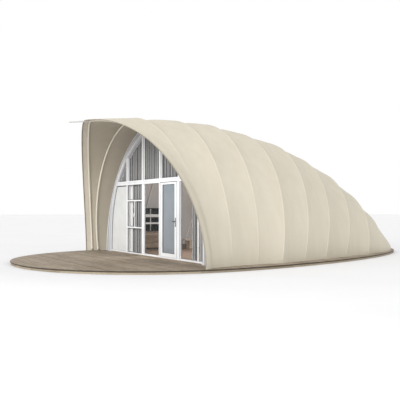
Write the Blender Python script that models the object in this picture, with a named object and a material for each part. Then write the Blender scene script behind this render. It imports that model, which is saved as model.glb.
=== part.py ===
"""Glamping tent on its own deck: arched poles, membrane bays, a glazed front with a door, and an oval deck.

Lengths are in metres. The tent is drawn around the middle of its glazed front:
X runs across, Y runs back from the outer face of the front, Z runs up from the deck boards.
An empty carries that drawing frame to its place, so that the model stands on Z = 0.
"""
import math
from dataclasses import dataclass, replace

import bmesh
import bpy
from mathutils import Matrix, Vector

# Clearances
GAP = 0.0003
DOOR_CLEARANCE = 0.006

# Deck, an oval with a short front end and a long rear end
DECK_LENGTH = 13.23
DECK_WIDTH = 7.46
DECK_FRONT_LENGTH = 4.21
DECK_FRONT_POWER = 2.06
DECK_REAR_POWER = 1.77
BOARD_THICKNESS = 0.028
DECK_HEIGHT = 0.081
BASE_INSET = 0.022
DECK_CORNERS = 72
FRONT_TO_DECK_TIP = 3.76

# Poles and membrane
POLE_RADIUS = 0.025
POLE_SIDES = 8
MEMBRANE = 0.006
ARCH_STEPS = 28
BAY_STEPS = 4
SAG_RATIO = 0.055
SAG_AT_FEET = 0.4
SAG_AT_CROWN = -0.05
SAG_CROWN_POWER = 6
DIP_AT_CROWN = 0.77
DIP_PLACE = 1 / 6
DIP_FADE = 6
ANGLE_STEP = math.pi / ARCH_STEPS

# Glazed front
SILL_HEIGHT = 0.07
SILL_DEPTH = 0.10
FRAME_DEPTH = 0.08
BAR_WIDTH = 0.07
GLAZING_HALF_WIDTH = 2.70
GLAZING_HEIGHT = 3.65
GLAZING_STEPS = 14
BAR_SPACING = 1.04
TRANSOM_BOTTOM = 2.08
TRANSOM_TOP = 2.20
RAIL_HEIGHT = 0.04
RAIL_LEVELS = (0.815, 1.61)
GLASS = 0.006
SURROUND_FRONT = 0.02
SURROUND_BACK = 0.06
SURROUND_LEAN = 0.10
SURROUND_CLEARANCE = 0.002

# Door leaf
DOOR_POST_WIDTH = 0.135
STILE = 0.11
BOTTOM_RAIL = 0.09
TOP_RAIL = 0.045
LEAF_THICKNESS = 0.05
HINGE_RADIUS = 0.007
HINGE_LENGTH = 0.12
HINGE_LEVELS = (0.32, 1.82)
HINGE_OFFSET = 0.013
HINGE_STEPS = 12
HINGE_ARC_START = -240.0
HINGE_ARC_END = 20.0
HINGE_PLATE_REACH = 0.038
PLATE_THICKNESS = 0.003
PLATE_WIDTH = 0.04
PLATE_LENGTH = 0.235
HANDLE_HEIGHT = 1.015
LEVER_HEIGHT = 1.035
LEVER_HALF = 0.01
LEVER_REACH = 0.035
LEVER_LENGTH = 0.11

# Panes and panels, by the place of their outer faces
RAIL_FRONT = 0.01
RAIL_BACK = 0.07
PANEL_FRONT = 0.03
PANEL_BACK = 0.055
GLASS_FRONT = 0.037

# Room
FLOOR_THICKNESS = 0.014
FLOOR_INSET = 0.16
SILL_INSIDE_WIDTH = 2.95
CURTAIN_DEPTH = 0.03
LOWER_CURTAIN_TOP = 2.12
SIDE_CURTAIN_LEFT = 2.10
SIDE_CURTAIN_LEVELS = (0.0705, 0.6, 1.1, 1.5, 1.85)
CABINET_WALL_X = -2.85
CABINET_DEPTH = 0.45
CABINET_FRONT_Y = 0.75
CABINET_LENGTH = 1.30
CABINET_HEIGHT = 0.62
SHELF_DEPTH = 0.30
SHELF_BACK = 0.02
SHELF_BOARDS = ((0.0, 0.03), (0.24, 0.30), (0.47, 0.57), (0.745, 0.775))
STOOL_FRONT_X = -2.45
STOOL_WIDTH = 0.35
STOOL_ENDS = (2.67, 2.90)
STOOL_TOP = 0.32
STOOL_TOP_BOARD = 0.035
STOOL_LEGS = (0.02, 0.10)
BOX_ENDS = (2.44, 2.65)
BOX_TOP = 0.17

# Rod at the hood's crown
ROD_LENGTH = 0.56
ROD_RADIUS = 0.018
ROD_TILT = math.radians(8)

FRONT_Y = -DECK_LENGTH / 2 + FRONT_TO_DECK_TIP


@dataclass(frozen=True)
class Arch:
    """One arched line of the outer surface, from the deck on the left to the deck on the right."""

    foot_y: float
    crown_y: float
    height: float
    half_width: float
    side_power: float = 1.0
    prow_power: float = 0.0


# In plan the hood's edge and its pole run forward to a blunt point; the other poles stand in flat leaning planes.
# A side power under one makes an arch broader at its shoulders than an ellipse, and one over one makes it slimmer.
HOOD_EDGE = Arch(-0.49, -1.97, 3.70, 3.64, 0.925, 0.86)
RIM = Arch(-0.31, -1.81, 3.725, 3.55, 0.96, 0.86)
RIBS = (
    Arch(-0.15, -0.59, 3.855, 3.43, 1.10),
    Arch(0.48, 0.53, 3.865, 3.30),
    Arch(1.30, 1.59, 3.84, 3.24),
    Arch(2.05, 2.68, 3.665, 3.27),
    Arch(2.95, 3.79, 3.45, 3.12),
    Arch(3.86, 4.81, 3.095, 2.94),
    Arch(4.90, 5.85, 2.66, 2.69),
    Arch(6.12, 6.70, 2.135, 2.43),
    Arch(7.13, 7.51, 1.535, 2.04),
)

# Behind the last pole the membrane comes down to the deck in a rounded tail.
TAIL_LENGTH = 2.05
TAIL_SHARES = (0.15, 0.35, 0.60, 0.80, 0.93)
TAIL_HEIGHT_POWERS = (0.69, 0.95)
TAIL_WIDTH_POWERS = (1.32, 0.51)


# Scene helpers

def clear_scene():
    """Remove what the file holds when the script starts."""
    for item in list(bpy.data.objects):
        bpy.data.objects.remove(item, do_unlink=True)


def material(name, colour, roughness, metallic=0.0, alpha=1.0):
    """Return a Principled material with plain values."""
    made = bpy.data.materials.new(name)
    made.use_nodes = True
    shader = made.node_tree.nodes["Principled BSDF"]
    shader.inputs["Base Color"].default_value = (*colour, 1.0)
    shader.inputs["Roughness"].default_value = roughness
    shader.inputs["Metallic"].default_value = metallic
    shader.inputs["Alpha"].default_value = alpha
    return made


def add_object(name, mesh_data, parent, finish):
    """Put a finished bmesh into the scene as one named object."""
    bmesh.ops.recalc_face_normals(mesh_data, faces=mesh_data.faces)
    if mesh_data.calc_volume(signed=True) < 0:
        bmesh.ops.reverse_faces(mesh_data, faces=mesh_data.faces)
    data = bpy.data.meshes.new(name)
    mesh_data.to_mesh(data)
    mesh_data.free()
    made = bpy.data.objects.new(name, data)
    bpy.context.collection.objects.link(made)
    made.parent = parent
    made.data.materials.append(finish)
    return made


def prism(outline, start, end, axis="Y"):
    """Return a bmesh of a flat outline drawn out along an axis, from start to end."""
    mesh_data = bmesh.new()
    ends = []
    for level in (start, end):
        corners = []
        for first, second in outline:
            places = {"X": (level, first, second), "Y": (first, level, second), "Z": (first, second, level)}
            corners.append(mesh_data.verts.new(places[axis]))
        ends.append(corners)
    join_outlines(mesh_data, ends[0], ends[1])
    return mesh_data


def join_outlines(mesh_data, near, far):
    """Close two matching outlines into one body."""
    count = len(near)
    mesh_data.faces.new(near)
    mesh_data.faces.new(list(reversed(far)))
    for index in range(count):
        following = (index + 1) % count
        mesh_data.faces.new((near[index], far[index], far[following], near[following]))


def box(low, high):
    """Return a bmesh box between two corners."""
    mesh_data = bmesh.new()
    bmesh.ops.create_cube(mesh_data, size=1.0)
    middle = [(a + b) / 2 for a, b in zip(low, high)]
    size = [b - a for a, b in zip(low, high)]
    bmesh.ops.scale(mesh_data, vec=size, verts=mesh_data.verts)
    bmesh.ops.translate(mesh_data, vec=middle, verts=mesh_data.verts)
    return mesh_data


def cells_body(cells, start, end):
    """Return one body from flat four-cornered cells that share their corners, drawn out along Y."""
    mesh_data = bmesh.new()
    corners = {}
    for cell in cells:
        face = []
        for x, z in cell:
            key = (round(x, 5), round(z, 5))
            if key not in corners:
                corners[key] = mesh_data.verts.new((x, start, z))
            face.append(corners[key])
        mesh_data.faces.new(face)
    bmesh.ops.recalc_face_normals(mesh_data, faces=mesh_data.faces)
    drawn = bmesh.ops.extrude_face_region(mesh_data, geom=mesh_data.faces[:], use_keep_orig=True)
    moved = [item for item in drawn["geom"] if isinstance(item, bmesh.types.BMVert)]
    bmesh.ops.translate(mesh_data, vec=(0, end - start, 0), verts=moved)
    return mesh_data


# Outlines of the deck

def deck_outline(inset):
    """Return the deck's oval as X, Y points in the drawing frame."""
    middle_y = -DECK_LENGTH / 2 + DECK_FRONT_LENGTH - FRONT_Y
    rear_length = DECK_LENGTH - DECK_FRONT_LENGTH
    outline = []
    for step in range(DECK_CORNERS):
        angle = 2 * math.pi * step / DECK_CORNERS
        across = math.cos(angle)
        along = math.sin(angle)
        length = rear_length if along > 0 else DECK_FRONT_LENGTH
        power = DECK_REAR_POWER if along > 0 else DECK_FRONT_POWER
        x = (DECK_WIDTH / 2 - inset) * math.copysign(abs(across) ** (2 / power), across)
        y = (length - inset) * math.copysign(abs(along) ** (2 / power), along)
        outline.append((x, middle_y + y))
    return outline


# Points on the tent's outer surface

def mix(first, second, share):
    """Return the value that lies a share of the way from first to second."""
    return first + (second - first) * share


def arch_point(arch, angle, inset=0.0):
    """Return a point of an arch, moved inwards in the X Z plane by inset."""
    across = math.cos(angle)
    rise = max(math.sin(angle), 0.0)
    lean = (1 - abs(across)) ** arch.prow_power if arch.prow_power else rise
    point = Vector((
        arch.half_width * math.copysign(abs(across) ** arch.side_power, across),
        mix(arch.foot_y, arch.crown_y, lean),
        GAP + (arch.height - GAP) * rise,
    ))
    return point + inward(arch, angle) * inset


def inward(arch, angle):
    """Return the unit direction from the surface into the tent, level at the feet."""
    direction = Vector((-math.cos(angle) / arch.half_width, 0.0, -math.sin(angle) / arch.height))
    return direction.normalized()


def sag_share(angle):
    """Return how much of the full sag the membrane has at an angle; below zero it crowns outwards."""
    rise = max(math.sin(angle), 0.0)
    return mix(SAG_AT_FEET, 1.0, rise) - (1.0 - SAG_AT_CROWN) * rise ** SAG_CROWN_POWER


def dip_share(angle):
    """Return how far the membrane dips just behind a pole at an angle, as a share of the full sag."""
    return DIP_AT_CROWN * max(math.sin(angle), 0.0) ** DIP_FADE


def dip_form(share):
    """Return the dip's form along a bay, which is one at its deepest place."""
    fall = 1 / DIP_PLACE - 1
    return share * (1 - share) ** fall / (DIP_PLACE * (1 - DIP_PLACE) ** fall)


def bay_point(front, back, share, angle, depth=0.0):
    """Return a point of the sagging surface between two arches, moved inwards by depth."""
    start = arch_point(front, angle)
    end = arch_point(back, angle)
    width = (end - start).length
    dip = dip_share(angle) * dip_form(share) if front in RIBS else 0.0
    sag = SAG_RATIO * width * (sag_share(angle) * 4 * share * (1 - share) + dip)
    middle = replace(
        front,
        half_width=mix(front.half_width, back.half_width, share),
        height=mix(front.height, back.height, share),
    )
    return start.lerp(end, share) + inward(middle, angle) * (sag + depth)


def tail_arches():
    """Return the arched lines of the tail, each lower and narrower than the one before."""
    last = RIBS[-1]
    end_y = last.foot_y + TAIL_LENGTH
    arches = []
    for share in TAIL_SHARES:
        height_first, height_second = TAIL_HEIGHT_POWERS
        width_first, width_second = TAIL_WIDTH_POWERS
        arches.append(Arch(
            mix(last.foot_y, end_y, share),
            mix(last.crown_y, end_y, share),
            last.height * (1 - share ** height_first) ** height_second,
            last.half_width * (1 - share ** width_first) ** width_second,
        ))
    return arches


def arch_angles():
    """Return the angles of the arches' points, from the right foot to the left foot."""
    return [ANGLE_STEP * step for step in range(ARCH_STEPS + 1)]


def bay_rows(stations, depth):
    """Return rows of surface points through a list of arches, with sagging rows between them."""
    rows = []
    last = len(stations) - 2
    for index, (front, back) in enumerate(zip(stations, stations[1:])):
        steps = BAY_STEPS if (back.crown_y - front.crown_y) > 0.6 else 1
        for step in range(steps + (index == last)):
            rows.append([bay_point(front, back, step / steps, angle, depth) for angle in arch_angles()])
    rows[0] = [point + Vector((0, GAP / 2, 0)) for point in rows[0]]
    rows[-1] = [point - Vector((0, GAP / 2, 0)) for point in rows[-1]]
    return rows


def membrane_body(stations, closed_end=False):
    """Return a bmesh of a thin arched membrane that follows the stations."""
    outer_rows = bay_rows(stations, 0.0)
    inner_rows = bay_rows(stations, MEMBRANE)
    if closed_end:
        inner_rows[-1] = [point - Vector((0, MEMBRANE, 0)) for point in inner_rows[-1]]
    mesh_data = bmesh.new()
    outer = [[mesh_data.verts.new(point) for point in row] for row in outer_rows]
    inner = [[mesh_data.verts.new(point) for point in row] for row in inner_rows]
    for grid in (outer, inner):
        for row, following in zip(grid, grid[1:]):
            for index in range(ARCH_STEPS):
                mesh_data.faces.new((row[index], row[index + 1], following[index + 1], following[index]))
    close_edges(mesh_data, outer, inner, closed_end)
    return mesh_data


def close_edges(mesh_data, outer, inner, closed_end):
    """Join the outer and the inner skin along the feet and at both ends."""
    for side in (0, ARCH_STEPS):
        for index in range(len(outer) - 1):
            mesh_data.faces.new((
                outer[index][side],
                outer[index + 1][side],
                inner[index + 1][side],
                inner[index][side],
            ))
    ring_ends = [0] if closed_end else [0, -1]
    for end in ring_ends:
        for index in range(ARCH_STEPS):
            mesh_data.faces.new((
                outer[end][index],
                outer[end][index + 1],
                inner[end][index + 1],
                inner[end][index],
            ))
    if closed_end:
        mesh_data.faces.new(outer[-1])
        mesh_data.faces.new(inner[-1])
        mesh_data.faces.new((outer[-1][0], outer[-1][-1], inner[-1][-1], inner[-1][0]))


def pole_path(before, arch, after):
    """Return the middle line of a pole under the seam of an arch, clear of the membrane on both sides."""
    path = []
    for angle in arch_angles():
        point = arch_point(arch, angle)
        from_front = (point - arch_point(before, angle)).normalized()
        to_back = (arch_point(after, angle) - point).normalized()
        along = arch_point(arch, min(angle + ANGLE_STEP, math.pi)) - arch_point(arch, max(angle - ANGLE_STEP, 0.0))
        down = (from_front + to_back).cross(along).normalized()
        if down.dot(inward(arch, angle)) < 0:
            down = -down
        steep = SAG_RATIO * max(4.0, 4 * sag_share(angle) + dip_share(angle) * dip_form(0.01) / 0.01)
        turn = from_front.angle(to_back) / 2 + math.atan(steep)
        path.append(point + down * ((MEMBRANE + POLE_RADIUS) / math.cos(turn) + GAP))
    return path


def pole_body(path):
    """Return a bmesh of a round pole along a path over the tent, standing flat on the deck."""
    mesh_data = bmesh.new()
    rings = []
    for index, point in enumerate(path):
        before = path[max(index - 1, 0)]
        after = path[min(index + 1, ARCH_STEPS)]
        tangent = (after - before).normalized()
        side = Vector((0, 1, 0)).cross(tangent).normalized()
        other = tangent.cross(side)
        ring = []
        for turn in range(POLE_SIDES):
            around = 2 * math.pi * (turn + 0.5) / POLE_SIDES
            corner = point + (side * math.cos(around) + other * math.sin(around)) * POLE_RADIUS
            if index in (0, ARCH_STEPS):
                corner += tangent * ((GAP - corner.z) / tangent.z)
            ring.append(mesh_data.verts.new(corner))
        rings.append(ring)
    for ring, following in zip(rings, rings[1:]):
        for turn in range(POLE_SIDES):
            beside = (turn + 1) % POLE_SIDES
            mesh_data.faces.new((ring[turn], ring[beside], following[beside], following[turn]))
    mesh_data.faces.new(rings[0])
    mesh_data.faces.new(list(reversed(rings[-1])))
    return mesh_data


# Outlines of the glazed front

def glazing_line():
    """Return the inner line of the front's arched frame, from the right foot over the crown to the left."""
    right = []
    for step in range(GLAZING_STEPS + 1):
        rise = math.sin(math.pi / 2 * step / GLAZING_STEPS)
        x = GLAZING_HALF_WIDTH * max(1 - rise ** 3, 0.0) ** 0.8
        right.append((x, GLAZING_HEIGHT * rise))
    left = [(-x, z) for x, z in reversed(right[:-1])]
    return right + left


def offset_line(line, distance):
    """Return an open line moved outwards by a distance, with its corners kept sharp."""
    moved = []
    for index, (x, z) in enumerate(line):
        before = Vector(line[max(index - 1, 0)])
        after = Vector(line[min(index + 1, len(line) - 1)])
        here = Vector((x, z))
        first = (here - before) if index else (after - here)
        second = (after - here) if index < len(line) - 1 else first
        first_normal = Vector((first.y, -first.x)).normalized()
        second_normal = Vector((second.y, -second.x)).normalized()
        middle = (first_normal + second_normal).normalized()
        reach = distance / max(middle.dot(first_normal), 0.2)
        moved.append((x + middle.x * reach, z + middle.y * reach))
    moved[0] = (moved[0][0], line[0][1])
    moved[-1] = (moved[-1][0], line[-1][1])
    return moved


def height_at(line, x):
    """Return the height of an arched line over a place across the front."""
    for (x_right, z_right), (x_left, z_left) in zip(line, line[1:]):
        if x_left <= x <= x_right:
            share = (x - x_right) / (x_left - x_right)
            return mix(z_right, z_left, share)
    return 0.0


def half_width_at(line, z):
    """Return half the width of an arched line at a height."""
    for (x_low, z_low), (x_high, z_high) in zip(line, line[1:]):
        if z_low <= z <= z_high:
            return mix(x_low, x_high, (z - z_low) / (z_high - z_low))
    return 0.0


def clipped_above(line, level):
    """Return the part of an arched line above a level, with its two ends on the level."""
    half = half_width_at(line, level)
    inside = [(x, z) for x, z in line if z > level + GAP]
    return [(half, level)] + inside + [(-half, level)]


def bar_edges(index):
    """Return the left and right faces of one upright bar, counted from the left."""
    middle = (index - 1.5) * BAR_SPACING
    return middle - BAR_WIDTH / 2, middle + BAR_WIDTH / 2


def side_light_outline(line, inner_x, side):
    """Return the outline of the light between an outer bar and the arched frame, under the transom."""
    low = SILL_HEIGHT + GAP
    high = TRANSOM_BOTTOM - GAP
    middle = [(x, z) for x, z in line if x > 0 and low + GAP < z < high - GAP]
    edge = [(half_width_at(line, low), low)] + middle + [(half_width_at(line, high), high)]
    outline = [(inner_x, low)] + edge + [(inner_x, high)]
    return [(side * x, z) for x, z in outline]


# Parts of the tent

def build_deck(parent, finishes):
    """Make the deck's frame with its edge band, the layer of boards and the room's floor."""
    frame_top = -BOARD_THICKNESS - GAP
    base = prism(deck_outline(BASE_INSET), -DECK_HEIGHT, frame_top, axis="Z")
    add_object("deck_base", base, parent, finishes["edge_timber"])
    boards = prism(deck_outline(0.0), -BOARD_THICKNESS, 0.0, axis="Z")
    add_object("deck_boards", boards, parent, finishes["deck_timber"])
    right = [(SILL_INSIDE_WIDTH, SILL_DEPTH + GAP)]
    right += [(rib.half_width - FLOOR_INSET, rib.foot_y) for rib in RIBS[1:]]
    left = [(-x, y) for x, y in reversed(right)]
    floor = prism(right + left, GAP, FLOOR_THICKNESS, axis="Z")
    add_object("room_floor", floor, parent, finishes["floor_timber"])


def build_poles(parent, finishes):
    """Make the hood's pole, the nine poles behind it and the rod at the hood's crown."""
    stations = [HOOD_EDGE, RIM, *RIBS, tail_arches()[0]]
    names = ["rim_pole"] + [f"arch_pole_{number}" for number in range(1, len(RIBS) + 1)]
    paths = [pole_path(*group) for group in zip(stations, stations[1:], stations[2:])]
    for name, path in zip(names, paths):
        add_object(name, pole_body(path), parent, finishes["pole"])

    pole_flat = POLE_RADIUS * math.cos(math.pi / POLE_SIDES)
    start = paths[0][ARCH_STEPS // 2] + Vector((0, -pole_flat - GAP, 0))
    end = start + Vector((0, -ROD_LENGTH * math.cos(ROD_TILT), -ROD_LENGTH * math.sin(ROD_TILT)))
    rod = bmesh.new()
    sizes = {"radius1": ROD_RADIUS, "radius2": ROD_RADIUS, "depth": ROD_LENGTH}
    bmesh.ops.create_cone(rod, cap_ends=True, segments=12, **sizes)
    turn = (end - start).to_track_quat("Z", "Y").to_matrix().to_4x4()
    bmesh.ops.transform(rod, matrix=Matrix.Translation((start + end) / 2) @ turn, verts=rod.verts)
    for corner in rod.verts:
        corner.co.y = min(corner.co.y, start.y)
    add_object("crown_rod", rod, parent, finishes["pole"])


def build_membranes(parent, finishes):
    """Make the hood's membrane, the eight bays between the poles and the closed tail."""
    hood = membrane_body([HOOD_EDGE, RIM, RIBS[0]])
    add_object("hood_membrane", hood, parent, finishes["membrane"])
    for number, (front, back) in enumerate(zip(RIBS, RIBS[1:]), start=1):
        bay = membrane_body([front, back])
        add_object(f"bay_membrane_{number}", bay, parent, finishes["membrane"])
    tail = membrane_body([RIBS[-1], *tail_arches()], closed_end=True)
    add_object("tail_membrane", tail, parent, finishes["membrane"])


def surround_edge(y):
    """Return the line where the membrane's inside meets an upright plane across the tent."""
    front, back = RIBS[0], RIBS[1]
    line = []
    for angle in arch_angles():
        start = arch_point(front, angle)
        end = arch_point(back, angle)
        share = (y - start.y) / (end.y - start.y)
        row = math.floor(share * BAY_STEPS)
        before = bay_point(front, back, row / BAY_STEPS, angle, MEMBRANE + SURROUND_CLEARANCE)
        after = bay_point(front, back, (row + 1) / BAY_STEPS, angle, MEMBRANE + SURROUND_CLEARANCE)
        point = before.lerp(after, share * BAY_STEPS - row)
        line.append((point.x, point.z))
    return line


def build_front_frame(parent, finishes):
    """Make the front's closing strip, arched frame, sill, bars and window rails."""
    inner = glazing_line()
    outer = offset_line(inner, BAR_WIDTH)
    low_inner = [(x, max(z, GAP)) for x, z in inner]
    low_outer = [(x, max(z, GAP)) for x, z in outer]
    arch = prism(low_outer + list(reversed(low_inner)), 0.0, FRAME_DEPTH)
    add_object("front_arch_frame", arch, parent, finishes["frame_paint"])

    strip_inner = [(x, max(z, GAP)) for x, z in offset_line(inner, BAR_WIDTH + GAP)]
    add_object("front_closing_strip", leaning_strip(strip_inner), parent, finishes["closing_strip"])

    half = half_width_at(inner, SILL_HEIGHT) - GAP * 2
    sill = box((-half, 0.0, GAP), (half, SILL_DEPTH, SILL_HEIGHT))
    add_object("front_sill", sill, parent, finishes["frame_paint"])
    add_object("front_bars", cells_body(bar_cells(inner), 0.0, FRAME_DEPTH), parent, finishes["frame_paint"])
    rails = cells_body(window_rail_cells(), RAIL_FRONT, RAIL_BACK)
    add_object("window_rails", rails, parent, finishes["frame_paint"])


def leaning_strip(inner_edge):
    """Return the strip from the arched frame to the membrane, which leans back on its way out."""
    strip = bmesh.new()
    edges = []
    for y in (SURROUND_FRONT, SURROUND_BACK):
        outer_y = y + SURROUND_LEAN
        near = [strip.verts.new((x, y, z)) for x, z in inner_edge]
        far = [strip.verts.new((x, outer_y, z)) for x, z in surround_edge(outer_y)]
        edges.append((near, far))
    (front_near, front_far), (back_near, back_far) = edges
    around = [front_near, front_far, back_far, back_near]
    for first, second in zip(around, around[1:] + around[:1]):
        for index in range(len(first) - 1):
            strip.faces.new((first[index], second[index], second[index + 1], first[index + 1]))
    for end in (0, -1):
        strip.faces.new([line[end] for line in around])
    return strip


def bar_cells(line):
    """Return the flat cells of the four uprights and the transom."""
    low = SILL_HEIGHT + GAP
    cells = []
    transom_left_low = -half_width_at(line, TRANSOM_BOTTOM) + GAP * 2
    transom_left_high = -half_width_at(line, TRANSOM_TOP) + GAP * 2
    reach = [(transom_left_low, transom_left_high)]
    for index in range(4):
        left, right = bar_edges(index)
        if index == 3:
            post_left = right - DOOR_POST_WIDTH
            cells.append(upright(post_left, left, low, TRANSOM_BOTTOM))
        cells.append(upright(left, right, low, TRANSOM_BOTTOM))
        cells.append(upright(left, right, TRANSOM_BOTTOM, TRANSOM_TOP))
        high_left = height_at(line, left) - GAP * 2
        high_right = height_at(line, right) - GAP * 2
        cells.append(((left, TRANSOM_TOP), (right, TRANSOM_TOP), (right, high_right), (left, high_left)))
        if index == 3:
            before = reach.pop()
            cells.append(transom_cell(before, (post_left, post_left)))
            cells.append(transom_cell((post_left, post_left), (left, left)))
        else:
            cells.append(transom_cell(reach.pop(), (left, left)))
        reach.append((right, right))
    cells.append(transom_cell(reach.pop(), (-transom_left_low, -transom_left_high)))
    return cells


def upright(left, right, low, high):
    """Return one upright four-cornered cell."""
    return (left, low), (right, low), (right, high), (left, high)


def transom_cell(start, end):
    """Return one cell of the transom between two pairs of low and high ends."""
    return (start[0], TRANSOM_BOTTOM), (end[0], TRANSOM_BOTTOM), (end[1], TRANSOM_TOP), (start[1], TRANSOM_TOP)


def window_rail_cells():
    """Return the flat cells of the two rails and the short bar between them in the second light."""
    left = bar_edges(0)[1] + GAP
    right = bar_edges(1)[0] - GAP
    middle = (left + right) / 2
    half = RAIL_HEIGHT / 2
    cells = []
    for level in RAIL_LEVELS:
        low, high = level - half, level + half
        cells.append(upright(left, middle - half, low, high))
        cells.append(upright(middle - half, middle + half, low, high))
        cells.append(upright(middle + half, right, low, high))
    cells.append(upright(middle - half, middle + half, RAIL_LEVELS[0] + half, RAIL_LEVELS[1] - half))
    return cells


def build_glazing(parent, finishes):
    """Make the white panel, the glass of the lower lights and the sheet behind the upper lights."""
    line = offset_line(glazing_line(), -GAP * 2)
    panel = prism(side_light_outline(line, -bar_edges(0)[0] + GAP, -1), PANEL_FRONT, PANEL_BACK)
    add_object("white_panel", panel, parent, finishes["white_panel"])
    side = prism(side_light_outline(line, bar_edges(3)[1] + GAP, 1), GLASS_FRONT, GLASS_FRONT + GLASS)
    add_object("side_glass", side, parent, finishes["glass"])
    low = SILL_HEIGHT + GAP
    high = TRANSOM_BOTTOM - GAP
    window_left, window_right = bar_edges(0)[1] + GAP, bar_edges(1)[0] - GAP
    window = box((window_left, RAIL_BACK + GAP, low), (window_right, RAIL_BACK + GAP + GLASS, high))
    add_object("window_glass", window, parent, finishes["glass"])
    fixed_left, fixed_right = bar_edges(1)[1] + GAP, bar_edges(2)[0] - GAP
    fixed = box((fixed_left, GLASS_FRONT, low), (fixed_right, GLASS_FRONT + GLASS, high))
    add_object("fixed_glass", fixed, parent, finishes["glass"])
    arch = clipped_above(offset_line(glazing_line(), BAR_WIDTH / 3), (TRANSOM_BOTTOM + TRANSOM_TOP) / 2)
    upper = prism(arch, FRAME_DEPTH + GAP, FRAME_DEPTH + GAP + GLASS)
    add_object("upper_glass", upper, parent, finishes["glass"])


def build_door(parent, finishes):
    """Make the door leaf with its glass, lever and hinges, carried by an empty on the hinge axis."""
    axis = bpy.data.objects.new("door_axis", None)
    bpy.context.collection.objects.link(axis)
    axis.parent = parent
    left = bar_edges(2)[1] + DOOR_CLEARANCE
    right = bar_edges(3)[1] - DOOR_POST_WIDTH - DOOR_CLEARANCE - 0.001
    low = SILL_HEIGHT + DOOR_CLEARANCE
    high = TRANSOM_BOTTOM - DOOR_CLEARANCE
    axis.location = (left - DOOR_CLEARANCE / 2, -HINGE_OFFSET, 0.0)

    xs = (left, left + STILE, right - STILE, right)
    zs = (low, low + BOTTOM_RAIL, high - TOP_RAIL, high)
    cells = []
    for column in range(3):
        for row in range(3):
            if (column, row) != (1, 1):
                cells.append(upright(xs[column], xs[column + 1], zs[row], zs[row + 1]))
    leaf = cells_body(cells, 0.0, LEAF_THICKNESS)
    place_on_axis(add_object("door_leaf", leaf, parent, finishes["frame_paint"]), axis)

    glass_front = (LEAF_THICKNESS - GLASS) / 2
    glass = box(
        (xs[1] + GAP, glass_front, zs[1] + GAP),
        (xs[2] - GAP, glass_front + GLASS, zs[2] - GAP),
    )
    place_on_axis(add_object("door_glass", glass, parent, finishes["door_glass"]), axis)
    middle = right - STILE / 2
    place_on_axis(add_object("door_lever", lever_body(middle), parent, finishes["dark_metal"]), axis)
    build_hinges(parent, axis, finishes)


def place_on_axis(piece, axis):
    """Hand a piece over to the axis empty and keep it where it was drawn."""
    piece.data.transform(Matrix.Translation(-axis.location))
    piece.parent = axis


def lever_body(middle):
    """Return a bmesh of the long plate with a lever on it, as one body."""
    half = PLATE_WIDTH / 2
    low = HANDLE_HEIGHT - PLATE_LENGTH / 2
    high = HANDLE_HEIGHT + PLATE_LENGTH / 2
    front = -GAP - PLATE_THICKNESS
    xs = (middle - half, middle - LEVER_HALF, middle + LEVER_HALF, middle + half)
    zs = (low, LEVER_HEIGHT - LEVER_HALF, LEVER_HEIGHT + LEVER_HALF, high)
    cells = [upright(xs[i], xs[i + 1], zs[j], zs[j + 1]) for i in range(3) for j in range(3)]
    mesh_data = cells_body(cells, -GAP, front)
    neck = nearest_face(mesh_data, Vector((middle, front, LEVER_HEIGHT)))
    grown = grow_face(mesh_data, neck, Vector((0, -LEVER_REACH, 0)))
    grow_face(mesh_data, grown, Vector((0, -LEVER_HALF * 1.5, 0)))
    beside = Vector((middle - LEVER_HALF, front - LEVER_REACH - LEVER_HALF * 0.75, LEVER_HEIGHT))
    grow_face(mesh_data, nearest_face(mesh_data, beside), Vector((-LEVER_LENGTH, 0, 0)))
    return mesh_data


def nearest_face(mesh_data, place):
    """Return the face whose middle lies nearest to a place."""
    return min(mesh_data.faces, key=lambda face: (face.calc_center_median() - place).length)


def grow_face(mesh_data, face, move):
    """Draw one face out and return the face at its end."""
    drawn = bmesh.ops.extrude_discrete_faces(mesh_data, faces=[face])
    end = drawn["faces"][0]
    bmesh.ops.translate(mesh_data, vec=move, verts=end.verts)
    return end


def build_hinges(parent, axis, finishes):
    """Make two hinges: a barrel on the frame below and a barrel on the leaf above, each with its plate."""
    half = HINGE_LENGTH / 2
    for name, level in zip(("lower", "upper"), HINGE_LEVELS):
        frame_half = prism(hinge_section(axis.location.x, -1), level - half, level - GAP / 2, axis="Z")
        add_object(f"{name}_hinge_on_frame", frame_half, parent, finishes["steel"])
        leaf_half = prism(hinge_section(axis.location.x, 1), level + GAP / 2, level + half, axis="Z")
        place_on_axis(add_object(f"{name}_hinge_on_leaf", leaf_half, parent, finishes["steel"]), axis)


def hinge_section(axis_x, side):
    """Return the section of half a hinge: most of a circle around the axis, then the flat plate and its root."""
    outline = []
    for step in range(HINGE_STEPS + 1):
        around = math.radians(mix(HINGE_ARC_START, HINGE_ARC_END, step / HINGE_STEPS))
        x = axis_x + side * HINGE_RADIUS * math.cos(around)
        outline.append((x, -HINGE_OFFSET + HINGE_RADIUS * math.sin(around)))
    plate_front = -GAP - PLATE_THICKNESS
    outline.append((axis_x + side * HINGE_RADIUS * 1.1, plate_front))
    outline.append((axis_x + side * HINGE_PLATE_REACH, plate_front))
    outline.append((axis_x + side * HINGE_PLATE_REACH, -GAP))
    outline.append((axis_x + side * DOOR_CLEARANCE * 0.6, -GAP))
    return outline


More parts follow.
